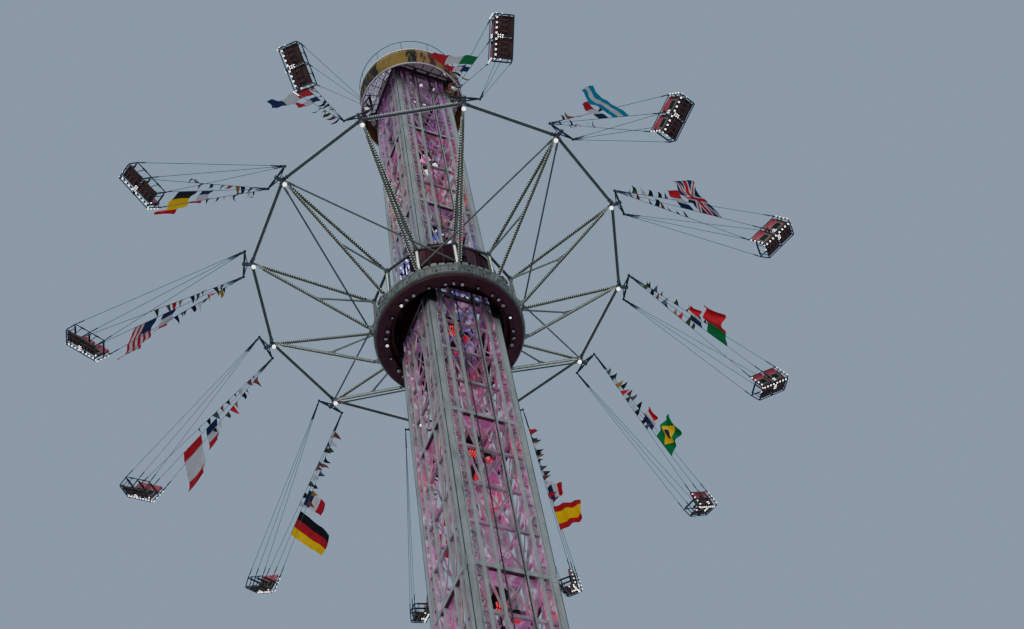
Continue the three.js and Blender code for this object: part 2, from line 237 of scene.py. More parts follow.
    def buds(self, points, axes, radius, mat=0):
        """Small lamps: one low dome at each point, along each axis."""
        points, axes = np.asarray(points, float), unit(np.broadcast_to(axes, np.shape(points)))
        a, b = square_to(axes)
        k = np.arange(6)
        turn = k[:, None] * np.pi / 3
        around = np.cos(turn) * a[:, None] + np.sin(turn) * b[:, None]
        rings = [
            points[:, None] + radius * (share * around + rise * axes[:, None])
            for share, rise in ((0.8, -0.4), (1.0, 0.35), (0.45, 1.0))
        ]
        base = np.arange(len(points))[:, None, None] * 18
        quads, caps = grid_faces(3, 6, (False, True)) + base, np.stack([k[::-1], k + 12]) + base
        self.put(np.stack(rings, 1), [quads.reshape(-1, 4), caps.reshape(-1, 6)], mat)

    def bolts(self, points, axis, radius=0.007, height=0.006, mat=1):
        for p in np.asarray(points, float):
            self.rod(p - unit(axis) * 0.002, p + unit(axis) * height, radius, 6, mat)


def make(name, shape, looks, body, smooth=35, slot=None, replaces=None, uv=None):
    """One mesh piece that rides on a body; looks are the names of its materials."""
    mesh = bpy.data.meshes.new(name)
    faces = [corners for group, _ in shape.faces for corners in group.tolist()]
    mesh.from_pydata(np.concatenate(shape.points).tolist(), [], faces, shade_flat=False)
    for look in looks.split():
        mesh.materials.append(MATERIALS[look])
    mats = np.concatenate([mat for _, mat in shape.faces]).astype(np.int32)
    mesh.polygons.foreach_set("material_index", mats)
    if uv is not None:
        corners = np.concatenate([group.ravel() for group, _ in shape.faces])
        layer = mesh.uv_layers.new(name="UVMap")
        layer.data.foreach_set("uv", np.asarray(uv, np.float32)[corners].ravel())
    if smooth:
        mesh.shade_smooth()
        mesh.set_sharp_from_angle(angle=math.radians(smooth))
    obj = bpy.data.objects.new(name, mesh)
    bpy.context.scene.collection.objects.link(obj)
    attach(obj, body)
    if replaces:
        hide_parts(replaces)
    return obj


# Materials
MATERIALS = {}


class Look:
    """A procedural material on one Principled shader."""

    def __init__(self, name, **sockets):
        self.mat = MATERIALS[name] = bpy.data.materials.new(name)
        self.mat.use_nodes = True
        self.tree = self.mat.node_tree
        self.shader = self.tree.nodes["Principled BSDF"]
        self.at = self.node("TexCoord").outputs["Object"]
        self.set(**sockets)

    def set(self, **sockets):
        for key, value in sockets.items():
            self.plug(self.shader.inputs[key.replace("_", " ")], value)

    def plug(self, socket, value):
        if isinstance(value, bpy.types.NodeSocket):
            self.tree.links.new(value, socket)
        elif isinstance(value, tuple) and len(value) == 3 and socket.type == "RGBA":
            socket.default_value = (*value, 1)
        else:
            socket.default_value = value

    def node(self, kind, *ins, **props):
        n = self.tree.nodes.new("ShaderNode" + kind)
        for key, value in props.items():
            setattr(n, key, value)
        for key, value in ins:
            self.plug(n.inputs[key], value)
        return n

    def noise(self, scale, detail=3.0, stretch=(1, 1, 1)):
        where = self.node("Mapping", ("Vector", self.at), ("Scale", stretch)).outputs[0]
        return self.node("TexNoise", ("Vector", where), ("Scale", scale), ("Detail", detail)).outputs["Fac"]

    def wave(self, at, direction, **numbers):
        n = self.node("TexWave", ("Vector", at), *numbers.items(), bands_direction=direction)
        return n.outputs["Fac"]

    def ramp(self, fac, *stops):
        n = self.node("ValToRGB", ("Fac", fac))
        while len(n.color_ramp.elements) < len(stops):
            n.color_ramp.elements.new(0.5)
        for e, (place, colour) in zip(n.color_ramp.elements, stops):
            e.position = place
            e.color = (*colour, 1) if isinstance(colour, tuple) else (colour, colour, colour, 1)
        return n.outputs["Color"]

    def mix(self, fac, a, b):
        return self.node("Mix", (0, fac), (6, a), (7, b), data_type="RGBA").outputs[2]

    def math(self, op, a, b=0.0):
        return self.node("Math", (0, a), (1, b), operation=op).outputs[0]

    def times(self, a, b):
        return self.math("MULTIPLY", a, b)

    def plus(self, a, b):
        return self.math("ADD", a, b)

    def span(self, value, a0, a1, b0=0.0, b1=1.0):
        return self.node("MapRange", *enumerate((value, a0, a1, b0, b1))).outputs[0]

    def split(self, vector):
        return self.node("SeparateXYZ", ("Vector", vector)).outputs

    def bump(self, height, strength, distance=0.002):
        n = self.node("Bump", ("Strength", strength), ("Distance", distance), ("Height", height))
        self.set(Normal=n.outputs[0])

    def base(self):
        return self.shader.inputs["Base Color"].links[0].from_socket


def paint(name, colour, dirt, rough, metal, amount, rust, coat, shine):
    """Weathered paint on steel: rain streaks, blotches, specks and chips."""
    look = Look(name, Metallic=metal, Coat_Weight=coat, Coat_Roughness=0.2, Specular_IOR_Level=shine)
    blotch, run, speck = look.noise(2.3, 4), look.noise(9.0, 4, (1, 1, 0.25)), look.noise(70.0, 2)
    soil = look.times(look.span(run, 0.45, 0.72), look.span(blotch, 0.3, 0.7, 0.3, 1.0))
    base = look.mix(look.span(blotch, 0.35, 0.7), colour, tuple(c * 0.86 for c in colour))
    base = look.mix(look.times(soil, amount), base, dirt)
    if rust:
        chip = look.span(look.plus(look.noise(17.0, 5), look.times(speck, 0.25)), 0.78, 0.84)
        base = look.mix(look.times(chip, rust), base, (0.13, 0.05, 0.02))
    look.set(Base_Color=base, Roughness=look.span(run, 0.3, 0.75, rough - 0.08, rough + 0.16))
    look.bump(look.plus(speck, look.times(blotch, 1.5)), 0.12)
    return look


def painted_lamp_glow(look, base, least, strength):
    """Painted lamp light: faces that look at the mast's axis are tinted and glow as if lit by the coloured
    lamps inside, in patches.
    """
    n = look.split(look.node("NewGeometry").outputs["Normal"])
    p = look.split(look.at)
    facing = look.plus(look.times(n[0], p[0]), look.times(n[1], p[1]))
    lit = look.span(facing, 0.04, -0.3, least, 1.0)
    lit = look.times(lit, look.span(look.noise(3.1, 5), 0.38, 0.6, 0.12, 1.0))
    share = look.span(p[2], 0, TOP)
    hue = look.ramp(
        look.plus(share, look.span(look.noise(0.9, 2), 0, 1, -0.05, 0.05)),
        (0.05, (0.38, 0.17, 0.3)),
        (0.42, (0.46, 0.16, 0.37)),
        (0.54, (0.46, 0.11, 0.3)),
        (0.61, (0.38, 0.055, 0.19)),
        (0.66, (0.22, 0.06, 0.26)),
        (0.7, (0.15, 0.12, 0.44)),
        (0.75, (0.2, 0.11, 0.32)),
        (0.785, (0.42, 0.08, 0.085)),
        (0.86, (0.42, 0.065, 0.105)),
        (0.89, (0.42, 0.045, 0.32)),
        (0.98, (0.44, 0.03, 0.46)),
    )
    # Painted red glow of the lamps at each joint, strongest close to them
    joint = look.math("SUBTRACT", look.math("MODULO", look.plus(p[2], 1.63), MODULE), MODULE / 2)
    near_lamp_glow = look.span(look.math("ABSOLUTE", joint), 0.05, 0.42, 0.6, 0.0)
    lamps = (0.665, 1.0), (0.672, 0.0), (0.845, 0.0), (0.855, 1.0), (0.895, 1.0), (0.905, 0.0)
    near_lamp_glow = look.times(near_lamp_glow, look.ramp(share, *lamps))
    hue = look.mix(near_lamp_glow, hue, look.mix(look.span(p[2], 19.0, 24.0), (0.62, 0.018, 0.045), (0.7, 0.06, 0.32)))
    # Pale washed-out patches of the painted glow
    pale = look.mix(look.span(look.noise(7.0, 3), 0.5, 0.64), hue, (0.56, 0.46, 0.56))
    look.set(
        Base_Color=look.mix(look.times(lit, 0.9), base, pale),
        Emission_Color=look.mix(lit, (0, 0, 0), pale),
        Emission_Strength=strength,
    )


def lamp(name, colour, strength, dim):
    """A lit lens: a little uneven, brightest in its middle patches."""
    look = Look(name, Roughness=0.25, Coat_Weight=0.4)
    cell = look.noise(38.0, 1)
    hot = look.mix(look.span(cell, 0.35, 0.65), tuple(c * dim for c in colour), colour)
    look.set(Base_Color=hot, Emission_Color=hot, Emission_Strength=strength)
    look.bump(cell, 0.2)


def fabric(name, colour):
    """Light flag cloth with its weave and faint creases; daylight shining through is painted as a faint glow
    in the cloth's own colour.
    """
    look = Look(name, Roughness=0.85, Specular_IOR_Level=0.15)
    fade = look.span(look.noise(5.0, 3), 0.3, 0.75)
    dyed = look.mix(fade, colour, tuple(min(1, c * 0.75 + 0.004) for c in colour))
    # Faint glow in the cloth's colour: painted light of the daylight behind it
    look.set(Base_Color=dyed, Emission_Color=dyed, Emission_Strength=0.16)
    uv = look.node("TexCoord").outputs["UV"]
    weave = look.times(look.wave(uv, "X", Scale=120.0), look.wave(uv, "Y", Scale=120.0))
    look.bump(look.plus(weave, look.noise(9.0, 2)), 0.25, 0.001)


# In thousandths: colour, dirt, roughness, metal, share of dirt, rust, coat, shine
PAINTS = """
mast_white      360 375 345 120 128 105 450 100 750 500 100 500
lattice_white   255 235 228  90  70  72 450 100 750 500   0 500
joint_pink      520 220 420 200  70 150 500   0 600 200   0 500
joint_maroon    115  34  58  50  15  30 500   0 600 300   0 200
head_dark        90  74  80  30  20  30 500 100 600 300   0 300
foot_grey       340 345 330 100  90  70 500 100 750 800   0 500
zinc_bolt       240 240 230  80  60  50 400 800 500 400   0 500
dark_seam        45  60  55  15  16  16 600   0 500   0   0 200
black_housing    16  15  16  36  28  28 500   0 400   0   0 150
band_green_grey 185 200 170  55  55  40 450 150 900 800  50 500
band_tooth      270 285 245  90  90  70 450 150 800 600  50 500
maroon_gloss     82   7  12  24   3   4 420   0 600   0 100 200
maroon_soffit    88  26  36  34  12  16 500   0 700   0   0 200
maroon_shade     44   8  12  14   4   5 600   0 700   0   0  80
arm_green_grey  215 235 200  85  90  65 400 200 600 500 100 500
lamp_strip       26  29  24  14  14  12 600   0 600   0   0 150
ring_blue_grey   80  94 110  40  42  44 380 300 600 300 100 500
rod_brown_grey  125 122 110  50  45  35 420 300 600 600   0 500
chair_steel      34  35  40  75  68  60 420 400 450 500   0 500
rubber_sleeve    22  24  26  50  50  45 700   0 400   0   0 300
seat_grey       155 150 130  60  50  42 500   0 600   0  50 300
seat_under      125  56  50  40  18  16 600   0 700   0   0 120
seat_window      12  20  14  18  16  15 500   0 600   0   0 120
seat_red        400  30  52 150  12  22 400   0 500   0 200 500
rim_cream       660 630 550 300 260 200 400   0 500 200 200 500
rim_lilac       620 500 620 200 120 200 350   0 400   0 200 500
fascia_yellow   232 138  10 100  52   6 500   0 600   0   0 200
fascia_black     13  14   8  42  34  10 550   0 600   0   0  80
fascia_green     62  62  18  25  26  10 500   0 600   0   0 120
fascia_red      260  32  18 120  14  10 450   0 500   0  50 300
fascia_beige    270 155  58 150  85  30 500   0 600   0   0 150
fascia_brown     80  26  12  35  14   8 500   0 600   0   0 120
fascia_ochre    165  90  13  90  50  12 500   0 600   0   0 150
fascia_inside   300 135  35 100  45  16 600   0 700   0   0 200
deck_violet     200 160 215  70  55  70 500 100 700   0   0 500
deck_pale       420 420 520 200 180 260 500   0 600   0   0 500
rail_blue_grey  115 140 170  40  50  50 400 400 500 300   0 500
"""
# In thousandths: colour, strength, brightness of the dim patches
LAMPS = """
bulb_frosted  600 610 500  220 800
bulb_lit     1000 950 880 3200 900
globe_lit    1000 980 940 3500 900
strip_lit     950 930 800  900 600
led_red       500   0  30  850 500
led_orange    800  30  40 1300 500
led_blue      100 110 750  800 350
led_violet    210 140 620  500 400
led_pink     1000 140 580 2000 500
led_white     800 860 1000 1600 350
led_dim       360 310 340  200 350
"""
# In thousandths: colour
CLOTHS = """
red 460 14 26
green 5 170 45
white 520 500 520
blue 14 20 82
sky 25 210 320
yellow 820 500 15
black 10 10 12
olive 45 60 22
brown 170 40 22
ochre 300 150 30
grey 75 85 95
"""


def rows(table):
    """Each row's name and its numbers."""
    for row in table.strip().splitlines():
        name, *numbers = row.split()
        yield name, [int(number) / 1000 for number in numbers]


def materials():
    painted = {name: paint(name, tuple(v[:3]), tuple(v[3:6]), *v[6:]) for name, v in rows(PAINTS)}
    for name, v in rows(LAMPS):
        lamp(name, tuple(v[:3]), *v[3:])
    for name, v in rows(CLOTHS):
        fabric("cloth_" + name, tuple(v))
    white, lattice, ledge = (painted[name] for name in ("mast_white", "lattice_white", "joint_pink"))
    # The mast's paint darkens towards its head: painted shade under the deck
    head = white.span(white.split(white.at)[2], 26.9, 28.0)
    painted_lamp_glow(white, white.mix(head, white.base(), (0.075, 0.058, 0.05)), 0.03, 0.38)
    # Darker patches on the lattice at random: painted shade
    shade = lattice.span(lattice.noise(3.4, 4), 0.44, 0.58, 0.0, 0.62)
    painted_lamp_glow(lattice, lattice.mix(shade, lattice.base(), (0.075, 0.07, 0.056)), 0.22, 0.56)
    # The joint ledges' pink and their glow over almost every face are painted light of the pink lamps
    painted_lamp_glow(ledge, ledge.base(), 0.6, 0.55)
    # The deck's underside glows faintly, violet and pale: painted lamp light
    painted["deck_violet"].set(Emission_Color=(0.24, 0.18, 0.22), Emission_Strength=0.3)
    painted["deck_pale"].set(Emission_Color=(0.4, 0.4, 0.52), Emission_Strength=0.55)
    rope = Look("rope_steel", Metallic=0.75, Roughness=0.5)
    greasy = rope.noise(30.0, 3, (1, 1, 0.3))
    rope.set(Base_Color=rope.ramp(greasy, (0.35, (0.022, 0.02, 0.018)), (0.7, (0.11, 0.1, 0.09))))
    rope.bump(rope.noise(220.0, 2), 0.3)
    cable = Look("cable_wire", Metallic=0.8)
    cable.set(
        Base_Color=cable.mix(cable.noise(4.0, 3), (0.075, 0.078, 0.082), (0.15, 0.15, 0.15)),
        Roughness=cable.span(cable.noise(12.0, 2), 0.3, 0.7, 0.3, 0.5),
    )
    cable.bump(cable.wave(cable.at, "DIAGONAL", Scale=60.0, Distortion=1.5), 0.4, 0.001)


# Camera, light and floor
def stage():
    scene = bpy.context.scene
    scene.world = bpy.data.worlds.new("soft_sky")
    scene.world.use_nodes = True
    sky = scene.world.node_tree.nodes["Background"].inputs
    sky[0].default_value, sky[1].default_value = (0.255, 0.345, 0.455, 1), 1.0
    floor = bpy.data.meshes.new("floor")
    half = 220
    corners = [(-half, -half, 0), (half, -half, 0), (half, half, 0), (-half, half, 0)]
    floor.from_pydata(corners, [], [(0, 1, 2, 3)])
    pale = Look("floor_pale", Roughness=0.8)
    pale.set(Base_Color=pale.mix(pale.noise(0.6, 4), (0.6, 0.6, 0.6), (0.66, 0.66, 0.655)))
    floor.materials.append(pale.mat)
    plane = bpy.data.objects.new("floor", floor)
    plane.location.z = -0.002
    scene.collection.objects.link(plane)
    for name, energy, colour, angle, aim in (
        ("key", 1.5, (1.0, 0.965, 0.93), 50, (0.62, 0.7, -0.3)),
        ("low", 0.85, (1.0, 0.94, 0.9), 70, (-0.1, 0.55, 0.8)),
        ("back", 0.45, (0.86, 0.93, 1.0), 60, (-0.6, -0.5, -0.6)),
    ):
        sun = bpy.data.lights.new(name, "SUN")
        sun.energy, sun.color, sun.angle = energy, colour, math.radians(angle)
        obj = bpy.data.objects.new(name, sun)
        obj.rotation_mode = "QUATERNION"
        obj.rotation_quaternion = Vector(aim).to_track_quat("-Z", "Y")
        scene.collection.objects.link(obj)
    data = bpy.data.cameras.new("camera")
    data.lens, data.sensor_width, data.clip_start, data.clip_end = 48.04, 36, 0.1, 400
    camera = bpy.data.objects.new("camera", data)
    aim = turn_z(-33.53) @ Matrix.Rotation(math.radians(146.66), 4, "X") @ turn_z(-13.47)
    camera.matrix_world = Matrix.Translation((-5.757, -10.559, 0.8)) @ aim
    scene.collection.objects.link(camera)
    scene.camera = camera


# Mast
def mast():
    nodes = {"foot_frame": "foot_grey", "head_frame": "head_dark"}
    nodes |= {f"mast_chord_{i + 1}": "mast_white" for i in range(4)}
    faces = ("front", "right", "back", "left")
    nodes |= {f"mast_face_{face}": "mast_white" for face in faces}
    for name, look in nodes.items():
        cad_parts[name].data.materials.clear()
        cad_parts[name].data.materials.append(MATERIALS[look])

    side = Shape()
    y = -0.57
    for a, b in zip(LEVELS, LEVELS[1:]):
        step = (b - a) / 4
        for j in range(4):
            z0, z1 = a + step * j, a + step * (j + 1)
            if j:
                side.box(-0.481, 0.481, y - 0.02, y + 0.02, z0 - 0.026, z0 + 0.026)
            for s in BOTH:
                side.rod((s * 0.352, y, z1 - 0.04), (s * 0.2, y, z0 + 0.05), 0.019, 10)
                for h in (0, 0.5):
                    low, mid = z0 + step * h + 0.03, z0 + step * (h + 0.25)
                    side.rod((s * 0.482, y, low), (s * 0.398, y, mid), 0.0115)
                    side.rod((s * 0.398, y, mid), (s * 0.482, y, low + step / 2 - 0.04), 0.0115)
                    side.box(s * 0.482, s * 0.398, y - 0.01, y + 0.01, mid - 0.01, mid + 0.01)
                for z in (z0 + 0.06, z1 - 0.06):
                    side.rod((s * 0.165, y, z), (0, y, z0 + step / 2), 0.0105)
    for i, face in enumerate(faces):
        whole = Shape().add(side, turn_z(90 * i))
        make(f"bracing_{face}", whole, "lattice_white", "mast", slot="mast_paint")

    plate, seam, ledge = Shape(), Shape(), Shape()
    for z in LEVELS[1:-1]:
        for s in BOTH:
            plate.box(s * 0.479, s * 0.602, -0.603, -0.599, z - 0.085, z + 0.085)
            rises = [z + rise for rise in (-0.065, -0.025, 0.025, 0.065)]
            plate.bolts(spots((s * 0.492, s * 0.588), [-0.603], rises), FRONT, 0.0065, 0.005)
            for x in (s * 0.375, s * 0.182):
                plate.box(x - 0.034, x + 0.034, -0.599, -0.594, z - 0.055, z + 0.055)
                corners = spots((x - 0.022, x + 0.022), [-0.599], (z - 0.043, z + 0.043))
                plate.bolts(corners, FRONT, 0.005, 0.004)
        ledge.box(-0.43, 0.43, -0.545, -0.435, z - 0.034, z - 0.024)
        drops = (-0.43, -0.25, 0.06), (-0.22, -0.02, 0.16), (0.0, 0.17, 0.1), (0.2, 0.43, 0.07)
        for x0, x1, drop in drops:
            ledge.box(x0, x1, -0.441, -0.433, z - drop, z + 0.035)
        ledge.box(-0.3, 0.3, -0.59, -0.55, z - 0.052, z - 0.0355, 1)
    z0, z1 = FOOT + 0.002, HEAD - 0.002
    seam.boxes(
        (-0.6015, -0.592, -0.6015, -0.6, z0, z1),
        (-0.6015, -0.6, -0.6, -0.592, z0, z1),
        (-0.505, -0.5, -0.6012, -0.6, z0, z1),
        (0.5, 0.505, -0.6012, -0.6, z0, z1),
    )
    make("joint_plates", Shape().spin(plate, QUARTERS), "mast_white zinc_bolt", "mast", slot="mast_paint")
    make("chord_seams", Shape().spin(seam, QUARTERS), "dark_seam", "mast", 0)
    make("joint_ledges", Shape().spin(ledge, QUARTERS), "joint_pink joint_maroon", "mast")


def ladder():
    s = Shape()
    x, y = 0.06, 0.5

    def cage(degrees, z):
        a = math.radians(degrees)
        return x + 0.19 * math.cos(a), y + 0.02 + 0.21 * math.sin(a), z

    for rail in (x - 0.1, x + 0.1):
        s.rod((rail, y, 0.46), (rail, y, 28.1), 0.011)
    for z in np.arange(0.6, 28.0, 0.14):
        s.rod((x - 0.1, y, z), (x + 0.1, y, z), 0.006, 6)
    for z in np.arange(FOOT + 0.775, 28.0, 0.775):
        s.tube([cage(a, z) for a in np.linspace(200, 340, 11)], 0.008, 6)
    for a in (205, 237, 270, 303, 335):
        s.rod(cage(a, 0.9), cage(a, 28.0), 0.006, 6)
    make("ladder", s, "lattice_white", "mast")


def mast_lamps():
    """Beams across the mast, the lamps on them, and two lamp boxes above the hub."""
    beams, s = Shape(), Shape()
    red, orange, blue, white, pink, violet = range(1, 7)
    tilt = (0, -0.3, -1)
    for i, z in enumerate(LEVELS[1:-1]):
        beams.bar((-0.44, 0.06, z), (0.44, 0.06, z), 0.06, 0.06)
        for x in (-0.1, 0.2):
            beams.bar((x, -0.435, z + 0.055), (x, 0.435, z + 0.055), 0.05, 0.05)
        s.box(-0.05, 0.17, -0.08, 0.08, z + 0.08, z + 0.21)
        s.rod((-0.05, 0, z + 0.245), (0.17, 0, z + 0.245), 0.06, 12)
        s.box(-0.03, 0.15, -0.085, 0.035, z - 0.14, z - 0.03)
        slots = {6: blue, 7: pink}.get(i, orange)
        lens = red if i < 6 else white
        for x in [-0.022 + 0.034 * k for k in range(5)]:
            s.box(x, x + 0.02, -0.091, -0.084, z - 0.132, z - 0.045, slots)
            s.box(x, x + 0.02, -0.08, 0.03, z - 0.147, z - 0.139, slots)
        s.rod((0.27, 0, z - 0.19), (0.27, 0, z - 0.08), 0.068, 16)
        s.buds([(0.27, -0.01, z - 0.185)], tilt, 0.064, lens)
        s.rod((0.27, 0, z - 0.08), (0.27, 0.05, z), 0.012)
        s.rod((0.065, 0, z - 0.62), (0.065, 0, z - 0.42), 0.074, 16)
        s.buds([(0.065, -0.012, z - 0.615)], tilt, 0.07, lens)
        s.rod((0.065, 0, z - 0.43), (0.065, 0.02, z - 0.12), 0.01)
        if i >= 6:
            heights = z - 0.09 + 0.05 * rng.standard_normal(5)
            sparks = np.stack([np.linspace(-0.02, 0.14, 5), np.full(5, -0.095), heights], 1)
            s.buds(sparks, (0, -1, -0.4), 0.016, white)
    for x, z in ((0.04, 20.02), (0.34, 19.97)):
        s.boxes(
            (x, x + 0.2, -0.1, 0.02, z - 0.26, z + 0.1),
            (x + 0.012, x + 0.188, -0.108, -0.098, z - 0.25, z + 0.09, violet),
            (x + 0.012, x + 0.188, -0.095, 0.015, z - 0.268, z - 0.258, blue),
            (x + 0.11, x + 0.18, -0.113, -0.107, z - 0.22, z - 0.1, white),
            (x + 0.03, x + 0.08, -0.113, -0.107, z - 0.05, z + 0.07, white),
        )
        s.rod((x + 0.09, 0, z + 0.09), (x + 0.09, 0, z + 0.4), 0.014)
    beams.bar((-0.44, -0.45, 19.53), (0.44, -0.45, 19.53), 0.05, 0.075)
    s.box(-0.42, 0.42, -0.478, -0.474, 19.5, 19.56, violet)
    for x in (-0.24, -0.14, 0.05, 0.19, 0.24, 0.36, 0.41):
        s.buds([(x, -0.48, 19.53 + 0.018 * rng.standard_normal())], (0, -1, -0.5), 0.02, white)
    for z, x in product((27.02, 28.0), (-0.15, 0.06, 0.33)):
        s.rod((x, -0.42, z), (x, -0.42, z + 0.09), 0.04, 12)
        s.buds([(x, -0.425, z)], tilt, 0.034, white)
    beams.bar((-0.44, 0.0, 20.4), (0.52, 0.0, 20.4), 0.05, 0.05)
    make("mast_beams", beams, "lattice_white", "mast", 0)
    looks = "black_housing led_red led_orange led_blue led_white led_pink led_violet"
    make("mast_lamps", s, looks, "mast")


def hoist():
    z = np.arange(FOOT + HAIR, HEAD, 0.032)
    z[-1] = HEAD
    for name, x in (("left", -0.14), ("right", 0.14)):
        strand = Shape()
        path = np.stack([np.full(len(z), x), np.full(len(z), -0.64), z], 1)
        strand.tube(path, 0.0112, 9, lobes=3, pitch=0.22)
        rope = f"hoist_rope_{name}"
        make(rope + "_strands", strand, "rope_steel", "mast", 60, "rope_steel", rope)


def foot():
    arm, edge = Shape(), Shape()
    for y, x in product((-0.12, 0.12), (2.19, 2.41)):
        arm.box(x - 0.03, x + 0.03, y - 0.03, y + 0.03, 0.06, 0.066, 1)
        arm.rod((x, y, 0.06), (x, y, 0.105), 0.011, 8, 1)
        arm.rod((x, y, 0.064), (x, y, 0.084), 0.019, 6, 1)
    for x, s in product((0.744, 1.244, 1.744), BOTH):
        arm.slab([(x, s * 0.09, 0.0), (x, s * 0.15, 0.0), (x, s * 0.09, 0.19)], (0.012, 0, 0))
    for y in (-0.097, 0.091):
        arm.box(0.62, 2.14, y, y + 0.006, 0.176, 0.2)
    arm.box(1.86, 2.04, -0.05, 0.05, 0.198, 0.206)
    arm.bolts(spots((1.88, 2.02), (-0.035, 0.035), [0.206]), UP, 0.008, 0.008)
    for x in (-0.456, -0.156, 0.144, 0.444):
        edge.slab([(x, -0.6, 0.13), (x, -0.64, 0.13), (x, -0.6, 0.42)], (0.012, 0, 0))
    edge.bolts(spots(np.arange(-0.42, 0.43, 0.12), [-0.6], (0.4, 0.17)), FRONT)
    whole = Shape().spin(arm, range(45, 360, 90)).spin(edge, QUARTERS)
    make("foot_details", whole, "foot_grey zinc_bolt", "mast", slot="mast_paint")


# Top
# Each patch of the drum's design: first and last angle and its look, or none for loose dabs
PATCHES = [
    (170, 208, 0), (208, 244, None), (244, 255, 0), (255, 269, 6), (269, 276, 4), (276, 287, None),
    (287, 295, 0), (295, 305, 6), (305, 313, 2), (313, 325, 0),
]


def fascia():
    ring = Shape()
    outer = [(1.088, 27.505), (1.092, 27.52), (1.092, 28.235), (1.088, EDGE)]
    ring.lathe([(1.062, 27.507), *outer, (1.062, EDGE)])
    faces, _ = ring.faces[0]
    middle = ring.points[0][faces].mean(1)
    ring.faces[0] = faces, np.where(np.hypot(middle[:, 0], middle[:, 1]) < 1.066, 1, 0)
    ring.hoop(1.088, 28.246, 0.016, 8, 2)
    ring.hoop(1.088, 27.51, 0.017, 8, 3)
    ring.hoop(1.093, 28.15, 0.004, 6, 2)
    for a in range(0, 360, 15):
        ring.wrap(a - 0.12, a + 0.12, 27.53, 28.22, 1.0905, 1.0935, 0, 2)
    turn = np.arange(0, 360, 1.5)
    ring.buds([polar(1.092, a, 28.262) for a in turn], [polar(1, a, 0.6) for a in turn], 0.0125, 4)
    looks = "fascia_yellow fascia_inside rim_cream rim_lilac strip_lit"
    make("fascia_drum", ring, looks, "mast", 30, "fascia_panel", "top_fascia")

    art = Shape()
    skin, coat, low, high = 1.0915, 1.094, 27.535, 28.215
    for half, (a0, a1, mat) in product((0, 180), PATCHES):
        a0, a1 = a0 + half, a1 + half
        if mat is None:
            for _ in range(int((a1 - a0) / 4)):
                a, z = a0 + (a1 - a0) * rng.random(), low + 0.55 * rng.random()
                end = a + 0.6 + 1.2 * rng.random()
                art.wrap(a, end, z, z + 0.03 + 0.08 * rng.random(), skin, coat, 5)
            continue
        t = np.linspace(0, 1, 12)
        left, z = a0 + 0.7 * np.round(np.sin(9 * t + half)), low + (high - low) * t
        for i in range(11):
            right = a1 + 0.8 * round(math.sin(7 * t[i] + a1))
            art.wrap(left[i], right, z[i], z[i + 1], skin, 1.0945, mat)
        marks = [1, 1, 4, 5, 3] if mat == 0 else [4, 5, 0, 6]
        for _ in range(int(0.9 * (a1 - a0))):
            a, z = a0 + (a1 - a0 - 3) * rng.random(), low + 0.45 * rng.random()
            wide, tall = 0.4 + 1.6 * rng.random(), 0.08 + 0.2 * rng.random()
            face = 1.096 + 0.001 * rng.random()
            art.wrap(a, a + wide, z, min(z + tall, high), coat, face, rng.choice(marks))
    looks = "fascia_black fascia_green fascia_red fascia_yellow fascia_brown fascia_ochre fascia_beige"
    make("fascia_design", art, looks, "mast", 30)


